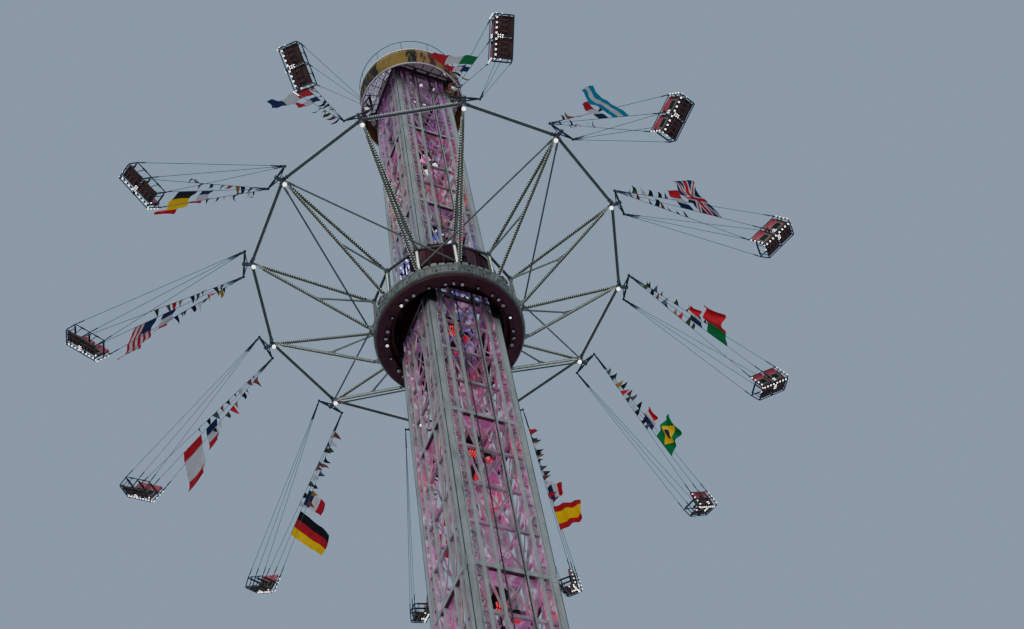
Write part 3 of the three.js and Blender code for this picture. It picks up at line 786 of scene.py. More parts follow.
def deck():
    rail = Shape()
    rail.hoop(RAIL_R, 28.741, 0.009)
    rail.hoop(RAIL_R, 28.34, 0.006)
    for a in range(0, 360, 30):
        rail.rod(polar(RAIL_R, a, EDGE + HAIR), polar(RAIL_R, a, 28.741), 0.0075)
        rail.rod(polar(RAIL_R, a, EDGE + HAIR), polar(RAIL_R, a, 28.262), 0.02, 12)
    make("railing_tubes", rail, "rail_blue_grey", "mast", slot="mast_paint", replaces="top_railing")

    s = Shape()
    s.ring(0.02, 1.0617, DECK_LOW, DECK_TOP, 96)
    for r in (0.36, 0.7):
        s.ring(r, r + 0.006, DECK_TOP, 28.2405, mat=1)
    for a in range(0, 360, 30):
        s.bar(polar(0.12, a, 28.24), polar(1.05, a, 28.24), 0.006, 0.0012, mat=1)
        for r in (0.2, 0.4, 0.66, 0.74, 0.9, 1.03):
            s.bolts([polar(r, a + side * 1.2 / r, DECK_TOP) for side in BOTH], UP, 0.005, 0.003)
    s.box(0.3, 0.66, -0.53, -0.23, DECK_TOP, 28.246)
    handle = [(0.42, -0.38, 28.244), (0.42, -0.38, 28.258), (0.54, -0.38, 28.258), (0.54, -0.38, 28.244)]
    s.tube(rounded(handle, 0.01), 0.005, 8, 1)
    for x in (0.31, 0.65):
        s.box(x - 0.008, x + 0.008, -0.5, -0.26, 28.246, 28.249, 1)
    for a in range(0, 360, 15):
        s.bar(polar(0.66, a, 28.202), polar(1.055, a, 28.202), 0.014, 0.018, mat=1)
    for r in (0.86, 1.048):
        s.ring(r, r + 0.009, 28.192, DECK_LOW, mat=1)
    # Panels under the deck, violet on one half and pale on the other, both glowing as painted lamp light
    for half in (0, 180):
        for a in range(137, 218, 9):
            s.wrap(a + half + 0.5, a + half + 8.5, 28.2, 28.209, 0.7, 1.035, 0 if half else 2)
            lit = 3 if a in (155, 200) else 0
            s.wrap(a + half + 3, a + half + 5, 28.192, 28.201, 0.8, 0.84, lit)
        for r in (0.74, 0.8, 0.92, 0.98):
            s.wrap(140 + half, 215 + half, 28.192, 28.199, r, r + 0.007, 1)
    for e in (-0.7, 0.7):
        s.bar((e, -0.74, 28.17), (e, 0.74, 28.17), 0.014, 0.016, mat=1)
        s.bar((-0.78, e, 28.14), (0.78, e, 28.14), 0.02, 0.03, mat=1)
        for x in (-0.7, 0.7):
            s.box(x - 0.012, x + 0.012, e - 0.012, e + 0.012, 28.11, DECK_LOW, 1)
    looks = "deck_violet head_dark deck_pale strip_lit"
    make("deck_underside", s, looks, "mast", 30, "deck_paint", "top_deck")

    gear = Shape()
    for a in range(15, 360, 30):
        gear.bar(polar(1.06, a, 27.62), polar(0.88, a, 28.18), 0.024, 0.024, (1, 0, 0))
        gear.bar(polar(1.056, a, 27.6), polar(1.056, a, 28.19), 0.03, 0.012, (1, 0, 0))
    for a in (161.2, 168.8):
        gear.rod(polar(0.86, a, 27.46), polar(0.9, a, 28.19), 0.011)
    for z in np.arange(27.52, 28.16, 0.11):
        r = 0.86 + 0.04 * (z - 27.46) / 0.73
        gear.rod(polar(r, 161.2, z), polar(r, 168.8, z), 0.007, 6)
    plate = Shape()
    plate.boxes((0.86, 0.97, -0.05, 0.05, 28.13, 28.2), (0.83, 0.87, -0.03, 0.03, 28.02, 28.2))
    gear.spin(plate, range(45, 360, 90))
    for mat, angles in ((1, (300, 323, 20, 150)), (2, (311, 333, 120, 195))):
        box = Shape()
        box.box(0.92, 1.0, -0.034, 0.034, 28.08, 28.16)
        box.box(0.92, 1.0, -0.03, 0.03, 28.072, 28.081, mat)
        box.box(0.912, 0.921, -0.03, 0.03, 28.09, 28.15, mat)
        gear.spin(box, angles)
    make("fascia_brackets", gear, "head_dark strip_lit fascia_inside", "mast")


# Carriage and hub
# Each panel of a carriage screen: its first angle, its width, and its looks below and above, 0 for the gloss
# maroon and 3 for the maroon darkened as painted shade
PANELS = (2, 17, 3, 0), (20.5, 13, 3, 3), (35, 20, 0, 3), (56.5, 15, 3, 0), (73, 21, 3, 3), (95, 17, 0, 3)


def carriage():
    drum, shoe = Shape(), Shape()
    wall = [(DRUM_IN, 18.93), (DRUM_OUT, 18.93), (DRUM_OUT, 18.96), (1.06, 18.96), (1.06, 19.0292)]
    drum.lathe([*wall, (DRUM_OUT, 19.0292), (DRUM_OUT, DRUM_TOP), (DRUM_IN, DRUM_TOP)])
    for z in (18.99, 19.97):
        shoe.box(0.51, 0.57, -0.7, -0.6052, z, z + 0.1, 1)
        shoe.box(0.5, 0.58, -0.72, -0.7, z - 0.02, z + 0.12, 1)
        shoe.rod((0.54, -0.71, z + 0.05), (0.54, -0.685, z + 0.05), 0.03, 12, 2)
    # Black L covers round the chords below the hub, as guide-shoe housings; their black stands in for the
    # shade there: painted shade
    shade_cover = [(0.46, -0.626), (0.626, -0.626), (0.626, -0.46), (0.614, -0.46), (0.614, -0.614), (0.46, -0.614)]
    shoe.slab([(x, y, 18.7) for x, y in shade_cover], (0, 0, 0.42), 1)
    for x in (0.49, 0.57):
        shoe.bolts([(x, -0.626, z) for z in (18.74, 18.86)], FRONT, 0.008, 0.007, 2)
        shoe.bolts([(0.626, -x, z) for z in (18.74, 18.86)], (1, 0, 0), 0.008, 0.007, 2)
    drum.spin(shoe, QUARTERS)
    for x in (-0.14, 0.14):
        drum.box(x - 0.03, x + 0.03, -0.89, -0.6505, 19.64, 19.72, 1)
        drum.bolts([(x - 0.018, -0.7, 19.72), (x + 0.018, -0.7, 19.72)], UP, 0.008, 0.01, 2)
    for start in (213.7, 33.7):
        end = start + 112.6
        drum.wrap(start, end, DRUM_TOP, 20.15, DRUM_IN, DRUM_OUT)
        for z in (19.09, 19.58, 20.132):
            drum.wrap(start, end, z - 0.014, z + 0.014, 0.918, 0.945, 3)
        for a in (start, start + 111.4):
            drum.wrap(a, a + 1.2, DRUM_TOP, 20.14, 0.875, 0.945, 3)
        for turn, wide, *inner in PANELS:
            a = start + turn
            for look, z0, z1 in zip(inner, (19.13, 19.62), (19.54, 20.1)):
                drum.wrap(a, a + wide - 1, z0, z1, 0.918, 0.927, 3)
                drum.wrap(a + 1, a + wide - 2, z0 + 0.025, z1 - 0.025, 0.926, 0.93, look)
            drum.wrap(a + wide - 0.4, a + wide + 0.4, 19.1, 20.13, 0.918, 0.948)
        for a, z in ((start + 15, 19.3), (start + 52, 19.75), (start + 88, 19.35)):
            drum.wrap(a, a + 5, z, z + 0.16, DRUM_OUT, 0.965, 1)
            drum.wrap(a + 1, a + 2, z + 0.16, z + 0.5, DRUM_OUT, 0.94, 1)
    # Frames, bands and some panels of the shell are the maroon darkened as painted shade
    looks = "maroon_gloss black_housing zinc_bolt maroon_shade"
    make("carriage_shell", drum, looks, "carriage", 30, "maroon_paint", "carriage_drum")

    # The lid and the plates beside the mast close the drum with dark sheets in the maroon darkened as painted
    # shade, where its inside lies in shade
    lid, part = Shape(), Shape()
    for s in BOTH:
        lid.box(s * 0.658, s * 0.664, -0.56, 0.56, 18.83, 19.17)
        for y in (-0.5, -0.26, -0.01, 0.24, 0.48):
            lid.box(s * 0.664, s * 0.69, y, y + 0.02, 18.84, 19.158)
    arc = [(x, -math.sqrt(0.881**2 - x * x), 19.16) for x in np.linspace(-0.57, 0.57, 23)]
    part.slab([(-0.57, -0.668, 19.16), *arc, (0.57, -0.668, 19.16)], (0, 0, 0.008))
    for x in (-0.42, -0.28, 0.28, 0.42):
        part.bar((x, -0.672, 19.15), (x, -0.8, 19.15), 0.014, 0.02)
    part.bar((-0.56, -0.676, 19.15), (0.56, -0.676, 19.15), 0.012, 0.02)
    make("carriage_lid", lid.spin(part, QUARTERS), "maroon_shade", "carriage")

    work, roller, cap = Shape(), Shape(), Shape()
    roller.box(0.8, 0.885, -0.05, 0.05, 18.98, 19.09)
    roller.rod((0.84, -0.08, 19.03), (0.84, 0.08, 19.03), 0.03, 14)
    roller.box(0.915, 0.985, -0.045, 0.045, 19.058, 19.11)
    roller.rod((0.95, -0.06, 19.1), (0.95, 0.06, 19.1), 0.036, 14)
    roller.box(0.93, 0.975, -0.02, 0.02, 19.105, 19.24, 1)
    work.spin(roller, range(3, 360, 30))
    for side, (a0, a1, z1) in product((0, 180), ((198, 205, 20.05), (206.5, 212.5, 20.12))):
        a0, a1, z0 = a0 + side, a1 + side, DRUM_TOP
        work.wrap(a0, a1, z0, z1, 0.86, 0.925)
        # Stripes of each work box are violet lamps, but the second stripe and the lower panel are the maroon
        # darkened as painted shade
        for j, inset, trim in ((0, 0.6, 0.6), (1, 1.1, 0.6), (2, 0.6, 1.3), (3, 1.1, 0.6)):
            z = z0 + 0.5 + 0.11 * j
            work.wrap(a0 + inset, a1 - trim, z, z + 0.085, 0.925, 0.93, 4 if j != 1 else 5)
        work.wrap(a0 + 0.5, a0 + 1.4, z0 + 0.52, z1 - 0.3, 0.93, 0.934, 2)
        work.wrap(a1 - 2.2, a1 - 1.2, z0 + 0.62, z0 + 0.74, 0.93, 0.934, 2)
        work.wrap(a0 + 1.5, a1 - 1.5, z0 + 0.06, z0 + 0.4, 0.925, 0.94, 5)
        work.buds([polar(0.932, a0 + 3, z1 - 0.1)], -polar(1, a0 + 180, 0), 0.022, 2)
    cap.rod((0.9, -0.05, 20.155), (0.9, 0.05, 20.155), 0.042, 16)
    cap.box(0.885, 0.915, -0.04, 0.04, 20.06, 20.15)
    work.spin(cap, (228, 236, 304, 48, 124)).ring(0.862, 0.885, BAND_TOP, 19.08)
    looks = "black_housing rod_brown_grey led_white led_dim led_violet maroon_shade"
    make("carriage_works", work, looks, "carriage")


def band():
    s = Shape()
    rim = [(1.1, 18.8), (1.184, 18.8), (1.19, 18.806), (1.19, 19.044), (1.184, BAND_TOP)]
    s.lathe([*rim, (0.94, BAND_TOP), (0.94, 19.03), (1.1, 19.03)])
    s.ring(1.188, 1.2, 18.808, 18.832, 96)
    s.ring(1.188, 1.197, 19.016, 19.036, 96)
    for k in range(60):
        a = POSTS[0] + 6 * k
        high = 19.045 + 0.035 + 0.05 * rng.random()
        s.wrap(a - 2.5, a + 1.9, 19.04, high, 1.172, 1.196, 3 if k % 3 else 0)
        tooth = Shape()
        tooth.box(1.188, 1.205, -0.004, 0.004, 18.83, 19.016, 3)
        tooth.box(1.1895, 1.1925, 0.03, 0.036, 18.835, 19.014, 2)
        if k % 2:
            tooth.plate(-0.005, 0.01, [(1.09, 19.048), (1.172, 19.048), (1.172, 19.1)], 3)
            tooth.box(1.1895, 1.1935, -0.052, -0.014, 18.87, 18.91, 2)
        s.add(tooth, turn_z(a + 2.7))
        if k % 4 == 1:
            clutter = Shape()
            wide, tall = 0.03 + 0.03 * rng.random(), 0.06 + 0.08 * rng.random()
            clutter.box(1.05, 1.13, -wide, wide, BAND_TOP, BAND_TOP + tall, 2)
            clutter.rod((1.09, 0, BAND_TOP), (1.09, 0, 19.07 + tall), 0.022, 12, 2)
            s.add(clutter, turn_z(a + 4))
    shoe = Shape()
    shoe.box(1.188, 1.201, -0.07, 0.07, 18.845, 19.01, 3)
    shoe.bolts(spots([1.201], (-0.056, 0.056), (18.865, 18.93, 18.995)), (1, 0, 0), 0.008, 0.007)
    shoe.box(1.08, 1.195, -0.055, 0.055, BAND_TOP, 19.062, 3)
    shoe.bolts(spots([1.1], (-0.042, 0.042), [19.062]), UP, 0.008, 0.007)
    s.spin(shoe, POSTS)
    looks = "band_green_grey zinc_bolt dark_seam band_tooth"
    make("hub_band_rim", s, looks, "wheel", 30, "band_paint", "hub_band")
    studs = Shape()
    turn = np.arange(0, 360, 1.9)
    studs.buds([polar(1.2, a, 18.82) for a in turn], [polar(1, a, -0.5) for a in turn], 0.0105)
    make("hub_band_bulbs", studs, "band_tooth", "wheel", 60)


def soffit():
    s = Shape()
    lip = [(1.045, 18.772), (1.155, 18.742), (1.165, 18.745), (1.165, 18.7997)]
    s.lathe([(0.965, 18.78), *lip, (0.965, 18.7997)])
    for k in range(24):
        one = Shape()
        one.rod((1.003, 0, 18.782), (1.003, 0, 18.756), 0.037, 16, 1)
        lens = 2 if k in (10, 13, 2, 21) else 3
        one.buds([(1.003, 0, 18.758)], (0, 0, -1), 0.02 + 0.006 * (k % 3), lens)
        if k % 3 == 1:
            one.box(0.975, 1.04, 0.108, 0.156, 18.752, 18.781, 1)
            one.box(0.982, 1.033, 0.114, 0.15, 18.746, 18.753, 3)
        one.box(0.967, 1.04, 0.085, 0.091, 18.768, 18.781)
        s.add(one, turn_z(15 * k + 4.7))
    looks = "maroon_soffit black_housing led_white led_dim"
    make("hub_soffit_rim", s, looks, "wheel", 30, "maroon_paint", "hub_soffit")


def posts():
    s, post, knot = Shape(), Shape(), Shape()
    z0, z1 = BAND_TOP + HAIR, 19.77
    post.boxes(
        (1.135, 1.185, -0.025, -0.018, z0, z1),
        (1.135, 1.185, 0.018, 0.025, z0, z1),
        (1.135, 1.142, -0.018, 0.018, z0, z1),
        (1.155, 1.162, -0.018, 0.018, z0, 19.72),
        (1.163, 1.171, -0.015, 0.015, 19.1, 19.68, 1),
    )
    post.plate(-0.004, 0.008, [(1.135, 19.062), (1.135, 19.2), (1.07, 19.062)])
    knot.box(1.125, 1.195, -0.034, 0.034, 19.715, 19.776, 2)
    knot.bolts(spots((1.14, 1.18), (-0.02, 0.02), [19.776]), UP, 0.006, 0.006, 3)
    for a in POSTS:
        p, q = polar(1.16, a, 19.745), polar(1.16, a + 30, 19.745)
        gap = (q - p) * 0.02
        s.add(post, turn_z(a))
        s.rod(p + gap, q - gap, 0.024, 12, 2)
        s.add(knot, turn_z(a))
    looks = "arm_green_grey strip_lit rod_brown_grey zinc_bolt"
    make("hub_posts", s, looks, "wheel", 30, "wheel_steel", "hub_frame")


def drives():
    motor = Shape()
    motor.box(1.03, 1.16, -0.07, 0.07, BAND_TOP, 19.12)
    motor.rod((1.1, 0, 19.12), (1.1, 0, 19.38), 0.058, 20)
    for z in np.arange(19.14, 19.36, 0.022):
        rib = [polar(0.062, a, z) + (1.1, 0, 0) for a in range(0, 360, 15)]
        motor.tube(rib, 0.006, 6, 1, loop=True)
    motor.rod((1.1, 0, 19.38), (1.1, 0, 19.4), 0.048, 20, 1)
    motor.box(1.14, 1.19, -0.035, 0.035, 19.18, 19.27, 1)
    places = (61.19, 181.19, 301.19, 331.19)
    make("turn_drives", Shape().spin(motor, places), "black_housing zinc_bolt", "wheel")


# Wheel
def arms():
    tip, mid = np.array([3.08, 0, 20.688]), 20.687
    low, high = np.array([1.212, 0, 18.88]), np.array([1.205, 0, 19.745])
    low_axis, high_axis = unit(tip - low), unit(tip - high)
    arm, lights = Shape(), Shape()
    arm.rod(low - low_axis * 0.02, tip + low_axis * 0.01, 0.022, 14)
    arm.rod(high - high_axis * 0.012, tip + high_axis * 0.01, 0.022, 14)
    z = 19.733
    reach = low[0] + (z - low[2]) / low_axis[2] * low_axis[0]
    arm.rod((1.195, 0, z), (reach - 0.01, 0, z), 0.017, 12)
    for outline in (
        [(1.1905, 18.845), (1.25, 18.87), (1.36, 19.02), (1.1905, 18.99)],
        [(1.19, 19.7), (1.4, 19.72), (1.36, 19.83), (1.19, 19.77)],
        [(reach - 0.14, z), (reach + 0.04, z + 0.04), (reach + 0.1, 19.84), (reach - 0.1, 19.66)],
    ):
        arm.plate(-0.006, 0.012, outline)
    arm.plate(-0.008, 0.016, [(2.86, 20.5), (3.1, 20.66), (3.1, 20.715), (2.84, 20.58)])
    cheek = [(3.06, 20.66), (3.3, 20.66), (3.31, mid), (3.3, 20.7147), (3.1, 20.7147)]
    arm.box(3.05, 3.29, -0.012, 0.012, 20.668, 20.708, 1)
    arm.rod((PIN_R, -0.258, PIN_Z), (PIN_R, 0.258, PIN_Z), 0.014, 16, 2)
    for s in BOTH:
        arm.plate(s * 0.022, -s * 0.012, cheek, 1)
        arm.bolts([(3.12, s * 0.022, mid), (3.2, s * 0.022, mid)], (0, s, 0), 0.009, 0.008, 3)
        arm.rod((PIN_R, s * 0.251, PIN_Z), (PIN_R, s * 0.261, PIN_Z), 0.02, 16, 2)
        arm.rod((PIN_R, s * 0.06, PIN_Z), (PIN_R, s * 0.205, PIN_Z), 0.0185, 16, 2)
        arm.bar((3.22, s * 0.024, mid), (3.262, s * 0.2, mid), 0.012, 0.03, mat=2)
    for axis, start, length in ((high_axis, high, 1.98), (low_axis, low, 2.42)):
        below = unit(np.cross(axis, (0, 1, 0)))
        below *= -np.sign(below[2])
        for s in BOTH:
            run = np.arange(0.12 + 0.0105 * s, length, 0.042)
            lean = unit(below * 0.6 + np.array([0, s, 0]) * 0.8)
            lights.buds(start + run[:, None] * axis + lean * 0.028, lean, BULB_R)
            ends = start + axis * 0.1 + lean * 0.0225, start + axis * length + lean * 0.0225
            lights.bar(*ends, 0.026, 0.009, lean, 1)
    looks = "arm_green_grey ring_blue_grey chair_steel zinc_bolt"
    for k, a in enumerate(ARMS):
        name, place = f"arm_{k + 1:02d}", turn_z(a)
        make(name + "_tubes", Shape().add(arm, place), looks, "wheel", 30, "wheel_steel", name)
        make(name + "_bulbs", Shape().add(lights, place), "bulb_frosted lamp_strip", "wheel", 60)


def rim():
    ring, beads, knot = Shape(), Shape(), Shape()
    knot.box(3.118, 3.182, -0.045, 0.045, 20.7148, 20.768)
    knot.bolts(spots((3.132, 3.168), (-0.028, 0.028), [20.768]), UP, 0.006, 0.006)
    for a in ARMS:
        p, q = polar(RIM_R, a, RIM_Z), polar(RIM_R, a + 30, RIM_Z)
        axis = unit(q - p)
        ring.rod(p + axis * 0.012, q - axis * 0.012, 0.0255, 14)
        ring.rod(p + axis * 0.075, p + axis * 0.087, 0.036, 14)
        ring.rod(q - axis * 0.087, q - axis * 0.075, 0.036, 14)
        run = np.arange(0.12, np.linalg.norm(q - p) - 0.1, 0.037)
        out = unit((p + q) * (1, 1, 0))
        for lean in (out + (0, 0, 0.15), -out + (0, 0, 0.15)):
            lean = unit(lean - axis * (lean @ axis))
            beads.buds(p + run[:, None] * axis + lean * 0.029, lean, BULB_R)
        ring.add(knot, turn_z(a))
    make("rim_tubes", ring, "ring_blue_grey zinc_bolt", "wheel", 30, "wheel_steel", "rim_ring")
    make("rim_bulbs", beads, "bulb_frosted", "wheel", 60)

    globe = Shape()
    globe.rod((3.115, 0, 20.66), (3.115, 0, 20.64), 0.02, 16, 1)
    turn = np.radians(np.linspace(20, 178, 10))
    globe.tube([(3.115, 0, 20.612 + 0.031 * math.cos(t)) for t in turn], 0.031 * np.sin(turn), 18)
    make("tip_globes", Shape().spin(globe, ARMS), "globe_lit black_housing", "wheel", 60)

    part = Shape()
    part.box(3.098, 3.152, -0.052, 0.052, 20.638, 20.6597)
    for s in BOTH:
        p = np.array([3.125, s * 0.04, 20.649])
        q = np.array(turn_z(s * 60) @ Vector((1.16, -s * 0.034, 19.2)))
        axis = unit(q - p)
        part.rod(p, q, 0.015, 12)
        part.rod(p + axis * 0.05, p + axis * 0.16, 0.02, 12)
        part.rod(q - axis * 0.17, q - axis * 0.06, 0.02, 12)
    rods = Shape().spin(part, ARMS[1::3])
    make("brace_tubes", rods, "rod_brown_grey", "wheel", 30, "wheel_steel", "brace_rods")


# Chairs
def chair_place(k):
    m = turn_z(ARMS[k]) @ Matrix.Translation((PIN_R, 0, PIN_Z))
    return m @ Matrix.Rotation(-math.radians(SWING[k]), 4, "Y")


def cable_ends(step, front=False):
    """A chair's cable from its knot to the seat."""
    start = np.array([step * 0.014, EYE_Y if front else -EYE_Y, KNOT])
    return start, np.array([step * SIDE, FRONT_Y, -3.27] if front else [step * SIDE, REAR_Y, -3.13])


def chair_metal():
    s = Shape()
    half = [(0.016, -0.02), (0.026, -0.075), (0.03, -0.1)]
    for front, y in ((True, EYE_Y), (False, -EYE_Y)):
        turn = np.radians(np.arange(0, 360, 24))
        eye = np.stack([0.0215 * np.cos(turn), np.full(15, y), 0.0215 * np.sin(turn)], 1)
        s.tube(eye, 0.0058, 8, loop=True)
        s.plate(y - 0.006, 0.012, half + [(-x, z) for x, z in half[::-1]])
        s.rod((-0.03, y, -0.088), (0.03, y, -0.088), 0.0095, 10)
        for step in (-1, 0, 1):
            top, end = cable_ends(step, front)
            axis, across = unit(end - top), np.array([0.013, 0, 0])
            s.tube([top, top + axis * 0.26, top + axis * 0.285], [0.0085, 0.0085, 0.005], 10, 2)
            s.rod(top + axis * 0.26, end - axis * 0.05, 0.0044, 8, 1)
            ferrule = [end - axis * back for back in (0.16, 0.14, 0.05, 0.03)]
            s.tube(ferrule, [0.005, 0.009, 0.009, 0.005], 10)
            s.rod(end - axis * 0.055, end + axis * 0.012, 0.006)
            s.rod(end - across, end + across, 0.0075)
    for x in (-SIDE, 0, SIDE):
        rear = [(REAR_Y, -3.118), (REAR_Y + 0.001, -3.3), (REAR_Y + 0.01, LOW)]
        loop = [(x, y, z) for y, z in (*rear, (0.112, LOW), (0.131, -3.262))]
        s.tube(rounded(loop, 0.035, 5), 0.0095, 12)
        rest = [(x, REAR_Y, ARM_Z), (x, 0.118, ARM_Z), (x, FRONT_Y, -3.262)]
        s.tube(rounded(rest, 0.02, 3), 0.0075, 10)
        pad = [(x, -0.13, -3.2815), (x, -0.115, -3.278), (x, 0.085, -3.278), (x, 0.1, -3.2815)]
        s.tube(pad, [0.006, 0.011, 0.011, 0.006], 12, 2)
        s.rod((x, REAR_Y - 0.009, -3.16), (x, REAR_Y + 0.009, -3.16), 0.006)
        for y in (-0.1, 0.06):
            s.rod((x, y, LOW), (x, y, ARM_Z), 0.006)
    cross = (FRONT_Y, FRONT_Z, 0.008), (0.112, LOW, 0.008), (-0.15, LOW, 0.008)
    for y, z, r in (*cross, (-0.055, LOW, 0.0085), (0.035, LOW, 0.0085), (REAR_Y, -3.16, 0.0065)):
        s.rod((-SIDE, y, z), (SIDE, y, z), r, 10)
    for x in (-0.225, -0.15, -0.075, 0.075, 0.15, 0.225):
        s.box(x - 0.012, x + 0.012, -0.052, 0.032, LOW - 0.003, LOW + 0.003, 3)
    for x in (-0.15, 0.15):
        s.tube(rounded([(x, FRONT_Y, FRONT_Z), (x, 0.124, -3.34), (x, 0.098, -3.405)], 0.03, 3), 0.006)
        s.rod((x - 0.04, FRONT_Y, FRONT_Z), (x + 0.04, FRONT_Y, FRONT_Z), 0.0115, 10, 2)
        for e, y in product((x - 0.11, x + 0.11), (-0.055, 0.035)):
            s.rod((e, y, LOW), (e, y, -3.438), 0.009)
    for x in (-0.27, -0.03, 0.03, 0.27):
        s.bar((x, REAR_Y + 0.002, -3.24), (x, -0.128, -3.24), 0.02, 0.01)
    return s


def seat_shells():
    """Two moulded bucket seats: pan, bend and back in one, with a sunk panel in each back painted near black
    as the shade of a slot.
    """
    pan = [(0.104, -3.432), (0.094, -3.422), (0.04, -3.426), (-0.03, -3.43), (-0.08, -3.424)]
    back = [(-0.108, -3.4), (-0.116, -3.35), (-0.121, -3.27), (-0.125, -3.19), (-0.13, -3.145)]
    line = np.array([*pan, *back, (-0.138, -3.138)])
    run = np.concatenate([[0], np.cumsum(np.linalg.norm(np.diff(line, axis=0), axis=1))])
    n, m = 57, 33
    v, u = np.linspace(0, 1, n), np.linspace(-1, 1, m)
    centre = np.stack([np.interp(v * run[-1], run, line[:, i]) for i in (0, 1)], 1)
    for _ in range(3):
        centre[1:-1] = (centre[:-2] + 2 * centre[1:-1] + centre[2:]) / 4
    tangent = unit(np.gradient(centre, axis=0))
    normal = np.stack([-tangent[:, 1], tangent[:, 0]], 1)
    normal = normal * np.sign(normal.sum(1, keepdims=True) + 1e-9)
    edge, v = np.abs(u)[None, :], v[:, None]
    half = 0.1355 * (1 - 0.1 * np.clip((v - 0.8) / 0.2, 0, 1) ** 2)
    drop = 0.014 * np.clip((v - 0.86) / 0.14, 0, 1) * edge**4
    cup = 0.016 * edge**2.2 - 0.02 * np.clip((edge - 0.86) / 0.14, 0, 1) ** 1.5
    ribs = 0.0024 * np.cos(u * np.pi * 5)[None, :] * np.clip(np.minimum(v - 0.08, 0.5 - v) / 0.1, 0, 1)
    panel = 0.645
    height = np.abs(v - panel)
    sunk = np.clip((0.085 - height) / 0.014, 0, 1) * np.clip((0.5 - edge) / 0.06, 0, 1)
    border = np.clip((0.115 - height) / 0.02, 0, 1) * np.clip((0.64 - edge) / 0.08, 0, 1)
    relief = 0.0035 * border - 0.0075 * sunk
    grids = []
    for thick in (0.0065 + cup + relief, -0.0065 + ribs + cup - relief):
        y = centre[:, :1] + normal[:, :1] * thick
        z = centre[:, 1:] + normal[:, 1:] * thick - drop
        grids.append(np.stack([u[None, :] * half, y, z], -1))
    back, across = (v[:-1] + v[1:]) / 2, (edge[:, :-1] + edge[:, 1:]) / 2
    # The sunk panel is painted near black: painted shade of a slot in the back
    slot_shade = (np.abs(back - panel) < 0.088) & (across < 0.5)
    framed = (np.abs(back - panel) < 0.125) & (across < 0.72)
    mats = np.where(slot_shade, 3, np.where(framed, 0, np.where(back > 0.76, 1, 2))).ravel()
    flat = grid_faces(n, m)[:, ::-1]
    k = np.arange(m)
    loop = np.concatenate([k, np.arange(2, n) * m - 1, n * m - 1 - k, np.arange(n - 2, 0, -1) * m])
    walls = np.stack([loop, np.roll(loop, -1), np.roll(loop, -1) + n * m, loop + n * m], 1)
    shell = Shape()
    shell.put(grids, [])
    lip = np.where(v[loop // m, 0] > 0.76, 1, 2)
    shell.faces = [(flat, mats), (flat[:, ::-1] + n * m, mats), (walls, lip)]
    both = Shape()
    for x in (-SEAT_X, SEAT_X):
        both.add(shell, Matrix.Translation((x, 0, 0)))
    return both


def chair_lamps():
    s = Shape()
    rear = [x + e for x in (-SEAT_X, SEAT_X) for e in (-0.105, -0.035, 0.035, 0.105)]
    s.buds(spots(rear, [-0.116], [-3.446]), (0, -0.6, -0.8), 0.0118)
    s.bar((-0.29, -0.116, -3.441), (0.29, -0.116, -3.441), 0.016, 0.01, mat=1)
    for out in BOTH:
        x = out * SIDE
        uprights = spots([x + out * 0.004], [REAR_Y - 0.006], (-3.2, -3.27, -3.34, -3.41))
        s.buds(uprights, (out * 0.5, -1, 0), 0.0098)
        s.buds(spots([x + out * 0.008], (-0.13, -0.05), [LOW + 0.004]), (out, -0.3, 0.3), 0.0095)
    s.buds(spots((-0.015, 0.015), [-0.17], (-3.42, -3.385)), FRONT, 0.008)
    s.box(-0.026, 0.026, -0.169, REAR_Y + 0.004, -3.44, -3.37, 1)
    s.buds(spots((-0.015, 0.015), (-0.095, -0.065, -0.035), [LOW - 0.01]), (0, 0, -1), 0.008)
    s.box(-0.026, 0.026, -0.11, -0.02, LOW - 0.0095, LOW - 0.0085, 1)
    return s


# Flags. A design gives the cloth at s from the hoist to the free end and h from below to above
CLOTH = dict(r="red", g="green", w="white", b="blue", s="sky", y="yellow")
CLOTH |= dict(k="black", o="olive", n="brown", c="ochre", e="grey")


def stripes(colours):
    """Stripes stacked along the hoist, from the tip's side down."""
    return lambda s, h: colours[min(int((1 - h) * len(colours)), len(colours) - 1)]


def pales(colours):
    """Stripes side by side from the hoist to the free end."""
    return lambda s, h: colours[min(int(s * len(colours)), len(colours) - 1)]


def crosses(s, h):
    x, y = s - 0.5, h - 0.5
    if abs(x) < 0.055 or abs(y) < 0.085:
        return "r"
    if abs(x) < 0.095 or abs(y) < 0.145:
        return "w"
    off = min(abs(y - x), abs(y + x))
    return "r" if off < 0.035 else "w" if off < 0.105 else "b"


def rhombus(s, h):
    x, y = (s - 0.5) * 1.5, h - 0.5
    if x * x + y * y < 0.042:
        return "b"
    return "y" if abs(x) / 0.62 + abs(y) / 0.4 < 1 else "g"


def bars_and_canton(s, h):
    if s < 0.42 and h > 0.46:
        return "b"
    return "r" if int((1 - h) * 9) % 2 == 0 else "w"


DESIGNS = [
    pales("gwr"),
    stripes("sws"),
    crosses,
    lambda s, h: "g" if s < 0.4 else "r",
    rhombus,
    lambda s, h: "y" if 0.25 < h < 0.75 else "r",
    lambda s, h: "w" if abs(s - 0.38) < 0.06 or abs(h - 0.5) < 0.09 else "r",
    stripes("kry"),
    pales("rwwr"),
    bars_and_canton,
    pales("kyr"),
    pales("rwb"),
]


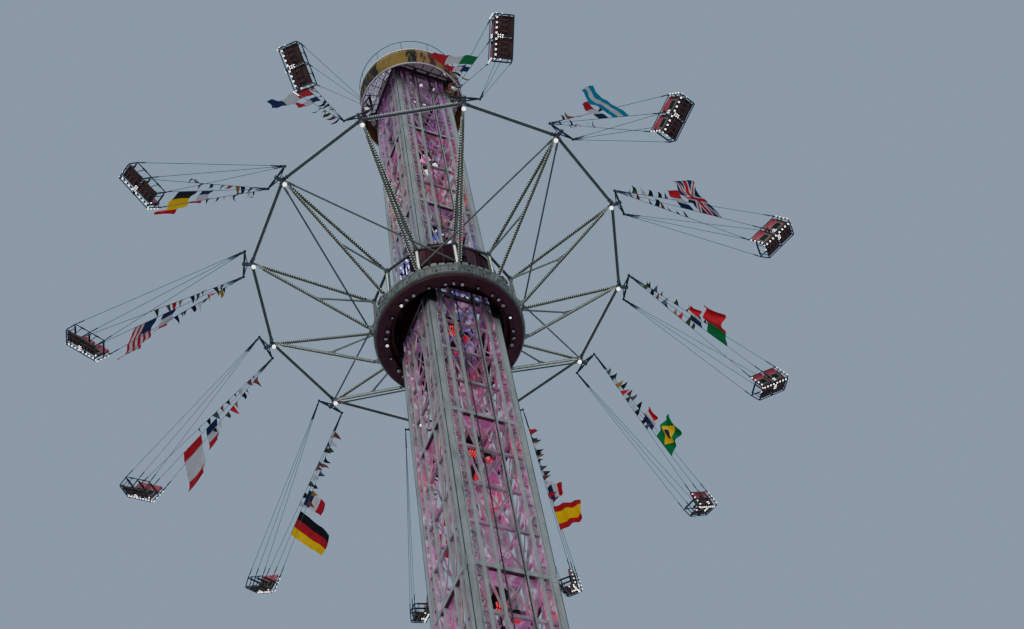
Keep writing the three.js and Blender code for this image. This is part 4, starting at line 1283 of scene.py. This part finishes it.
def flag(k, name, design, flat, low, high, share, wave, fine, n, m):
    """One flag on the middle rear cable, waving as its solid does, with finer ripples."""
    trail, lean = TRAIL[k] * share, LEAN[k] * share
    s, h = np.meshgrid(np.linspace(0, 1, n), np.linspace(0, 1, m), indexing="ij")
    t = low + (high - low) * (0.5 + (h - 0.5) * (1 - 0.14 * s * s))
    start, end = cable_ends(0)
    hold = start + (end - start) * t[..., None]
    phase = 0.9 * k
    for gain in np.arange(0.7, 4.0, 0.1):
        ripple = gain * fine * 0.026 * s**0.7 * np.sin(13.5 * s + 2.4 * (h - 0.5) + phase)
        ripple += fine * 0.006 * s * np.sin(31 * s - 4.0 * h + 2 * phase)
        x = hold[..., 0] + wave * s * np.sin(8 * s) + ripple
        y = hold[..., 1] + 0.004 - trail * s * (1 + 0.06 * np.sin(3 * h + phase) * s)
        z = hold[..., 2] + lean * s + 0.05 * share * s * (h - 0.5) * math.sin(phase)
        grid = np.stack([x, y, z + 0.012 * s * np.sin(9 * s + phase)], -1)
        along, down = np.diff(grid, axis=0)[:, :-1], np.diff(grid, axis=1)[:-1]
        if np.linalg.norm(np.cross(along, down), axis=-1).sum() > LEAST_CLOTH * flat[0] * flat[1]:
            break
    keys = [design((a + 0.5) / (n - 1), (b + 0.5) / (m - 1)) for a, b in np.ndindex(n - 1, m - 1)]
    used = sorted(set(keys))
    cloth = Shape()
    cloth.put(grid, [grid_faces(n, m)[:, [0, 3, 2, 1]]], np.array([used.index(c) for c in keys]))
    body, uv = f"chair_{k + 1:02d}", np.stack([s.ravel(), h.ravel()], 1)
    looks = " ".join("cloth_" + CLOTH[c] for c in used)
    obj = make(f"{body}_{name}", Shape().add(cloth, chair_place(k)), looks, body, 60, uv=uv)


def pennants(k, step):
    """A string of small pointed pennants tied along an outer rear cable, no two alike."""
    cloth = Shape()
    start, end = cable_ends(step)
    axis = unit(end - start)
    keys = "kenwoknekcrowk"
    looks = " ".join("cloth_" + CLOTH[keys[(i + 3 * k + 5 * step) % len(keys)]] for i in range(8))
    places = np.arange(0.115, 0.56, 0.054) + 0.009 * rng.standard_normal(9)
    uv, area, span = [], 0.0, 0.0
    n = 6
    for i, t in enumerate(places):
        base, fall = 0.075 + 0.05 * rng.random(), 0.11 + 0.07 * rng.random()
        area, span = area + base * fall / 2, span + base
        at = start + (end - start) * t
        back = unit(np.array([0.35 * rng.standard_normal(), -1.0, LEAN[k] + 0.45 * rng.standard_normal()]))
        back = unit(back - axis * (back @ axis) * 0.7)
        side = np.cross(axis, back)
        curl, twist = 0.03 * rng.standard_normal(), 0.6 * rng.standard_normal()
        points = []
        for f in np.linspace(0, 1, n + 1):
            wide = base * (1 - f) * 0.5 + 0.0006
            centre = at + back * fall * f + side * (curl * math.sin(3.3 * f) + 0.3 * curl * f)
            across = axis * math.cos(twist * f) + side * math.sin(twist * f)
            points += [centre - across * wide, centre + across * wide]
            uv += [(0.5 - wide * 6, f), (0.5 + wide * 6, f)]
        cloth.put(points, [grid_faces(n + 1, 2)], i % 8)
    body, side = f"chair_{k + 1:02d}", "inner" if step < 0 else "outer"
    obj = make(f"{body}_pennants_{side}", Shape().add(cloth, chair_place(k)), looks, body, 60, uv=uv)


def chairs():
    metal, shells, lamps = chair_metal(), seat_shells(), chair_lamps()
    for k in range(12):
        body = f"chair_{k + 1:02d}"
        for name, shape, looks, slot, node in (
            ("_cables", metal, "chair_steel cable_wire rubber_sleeve seat_under", "chair_steel", "_frame"),
            ("_shells", shells, "seat_grey seat_red seat_under seat_window", "seat_shell", "_seat"),
            ("_lamps", lamps, "bulb_lit black_housing", None, None),
        ):
            moved = Shape().add(shape, chair_place(k))
            make(body + name, moved, looks, body, 40, slot, node and body + node)
        flag(k, "flag", DESIGNS[k], (0.45, 0.675), 0.752, 0.604, 1.0, 0.038, 1.0, 73, 49)
        flag(k, "small_flag", pales("bwr"), (0.273, 0.39), 0.562, 0.472, 0.56, 0.022, 0.6, 37, 25)
        pennants(k, -1)
        pennants(k, 1)


materials()
for build in (stage, mast, ladder, mast_lamps, hoist, foot, fascia, deck):
    build()
for build in (carriage, band, soffit, posts, drives, arms, rim, chairs):
    build()
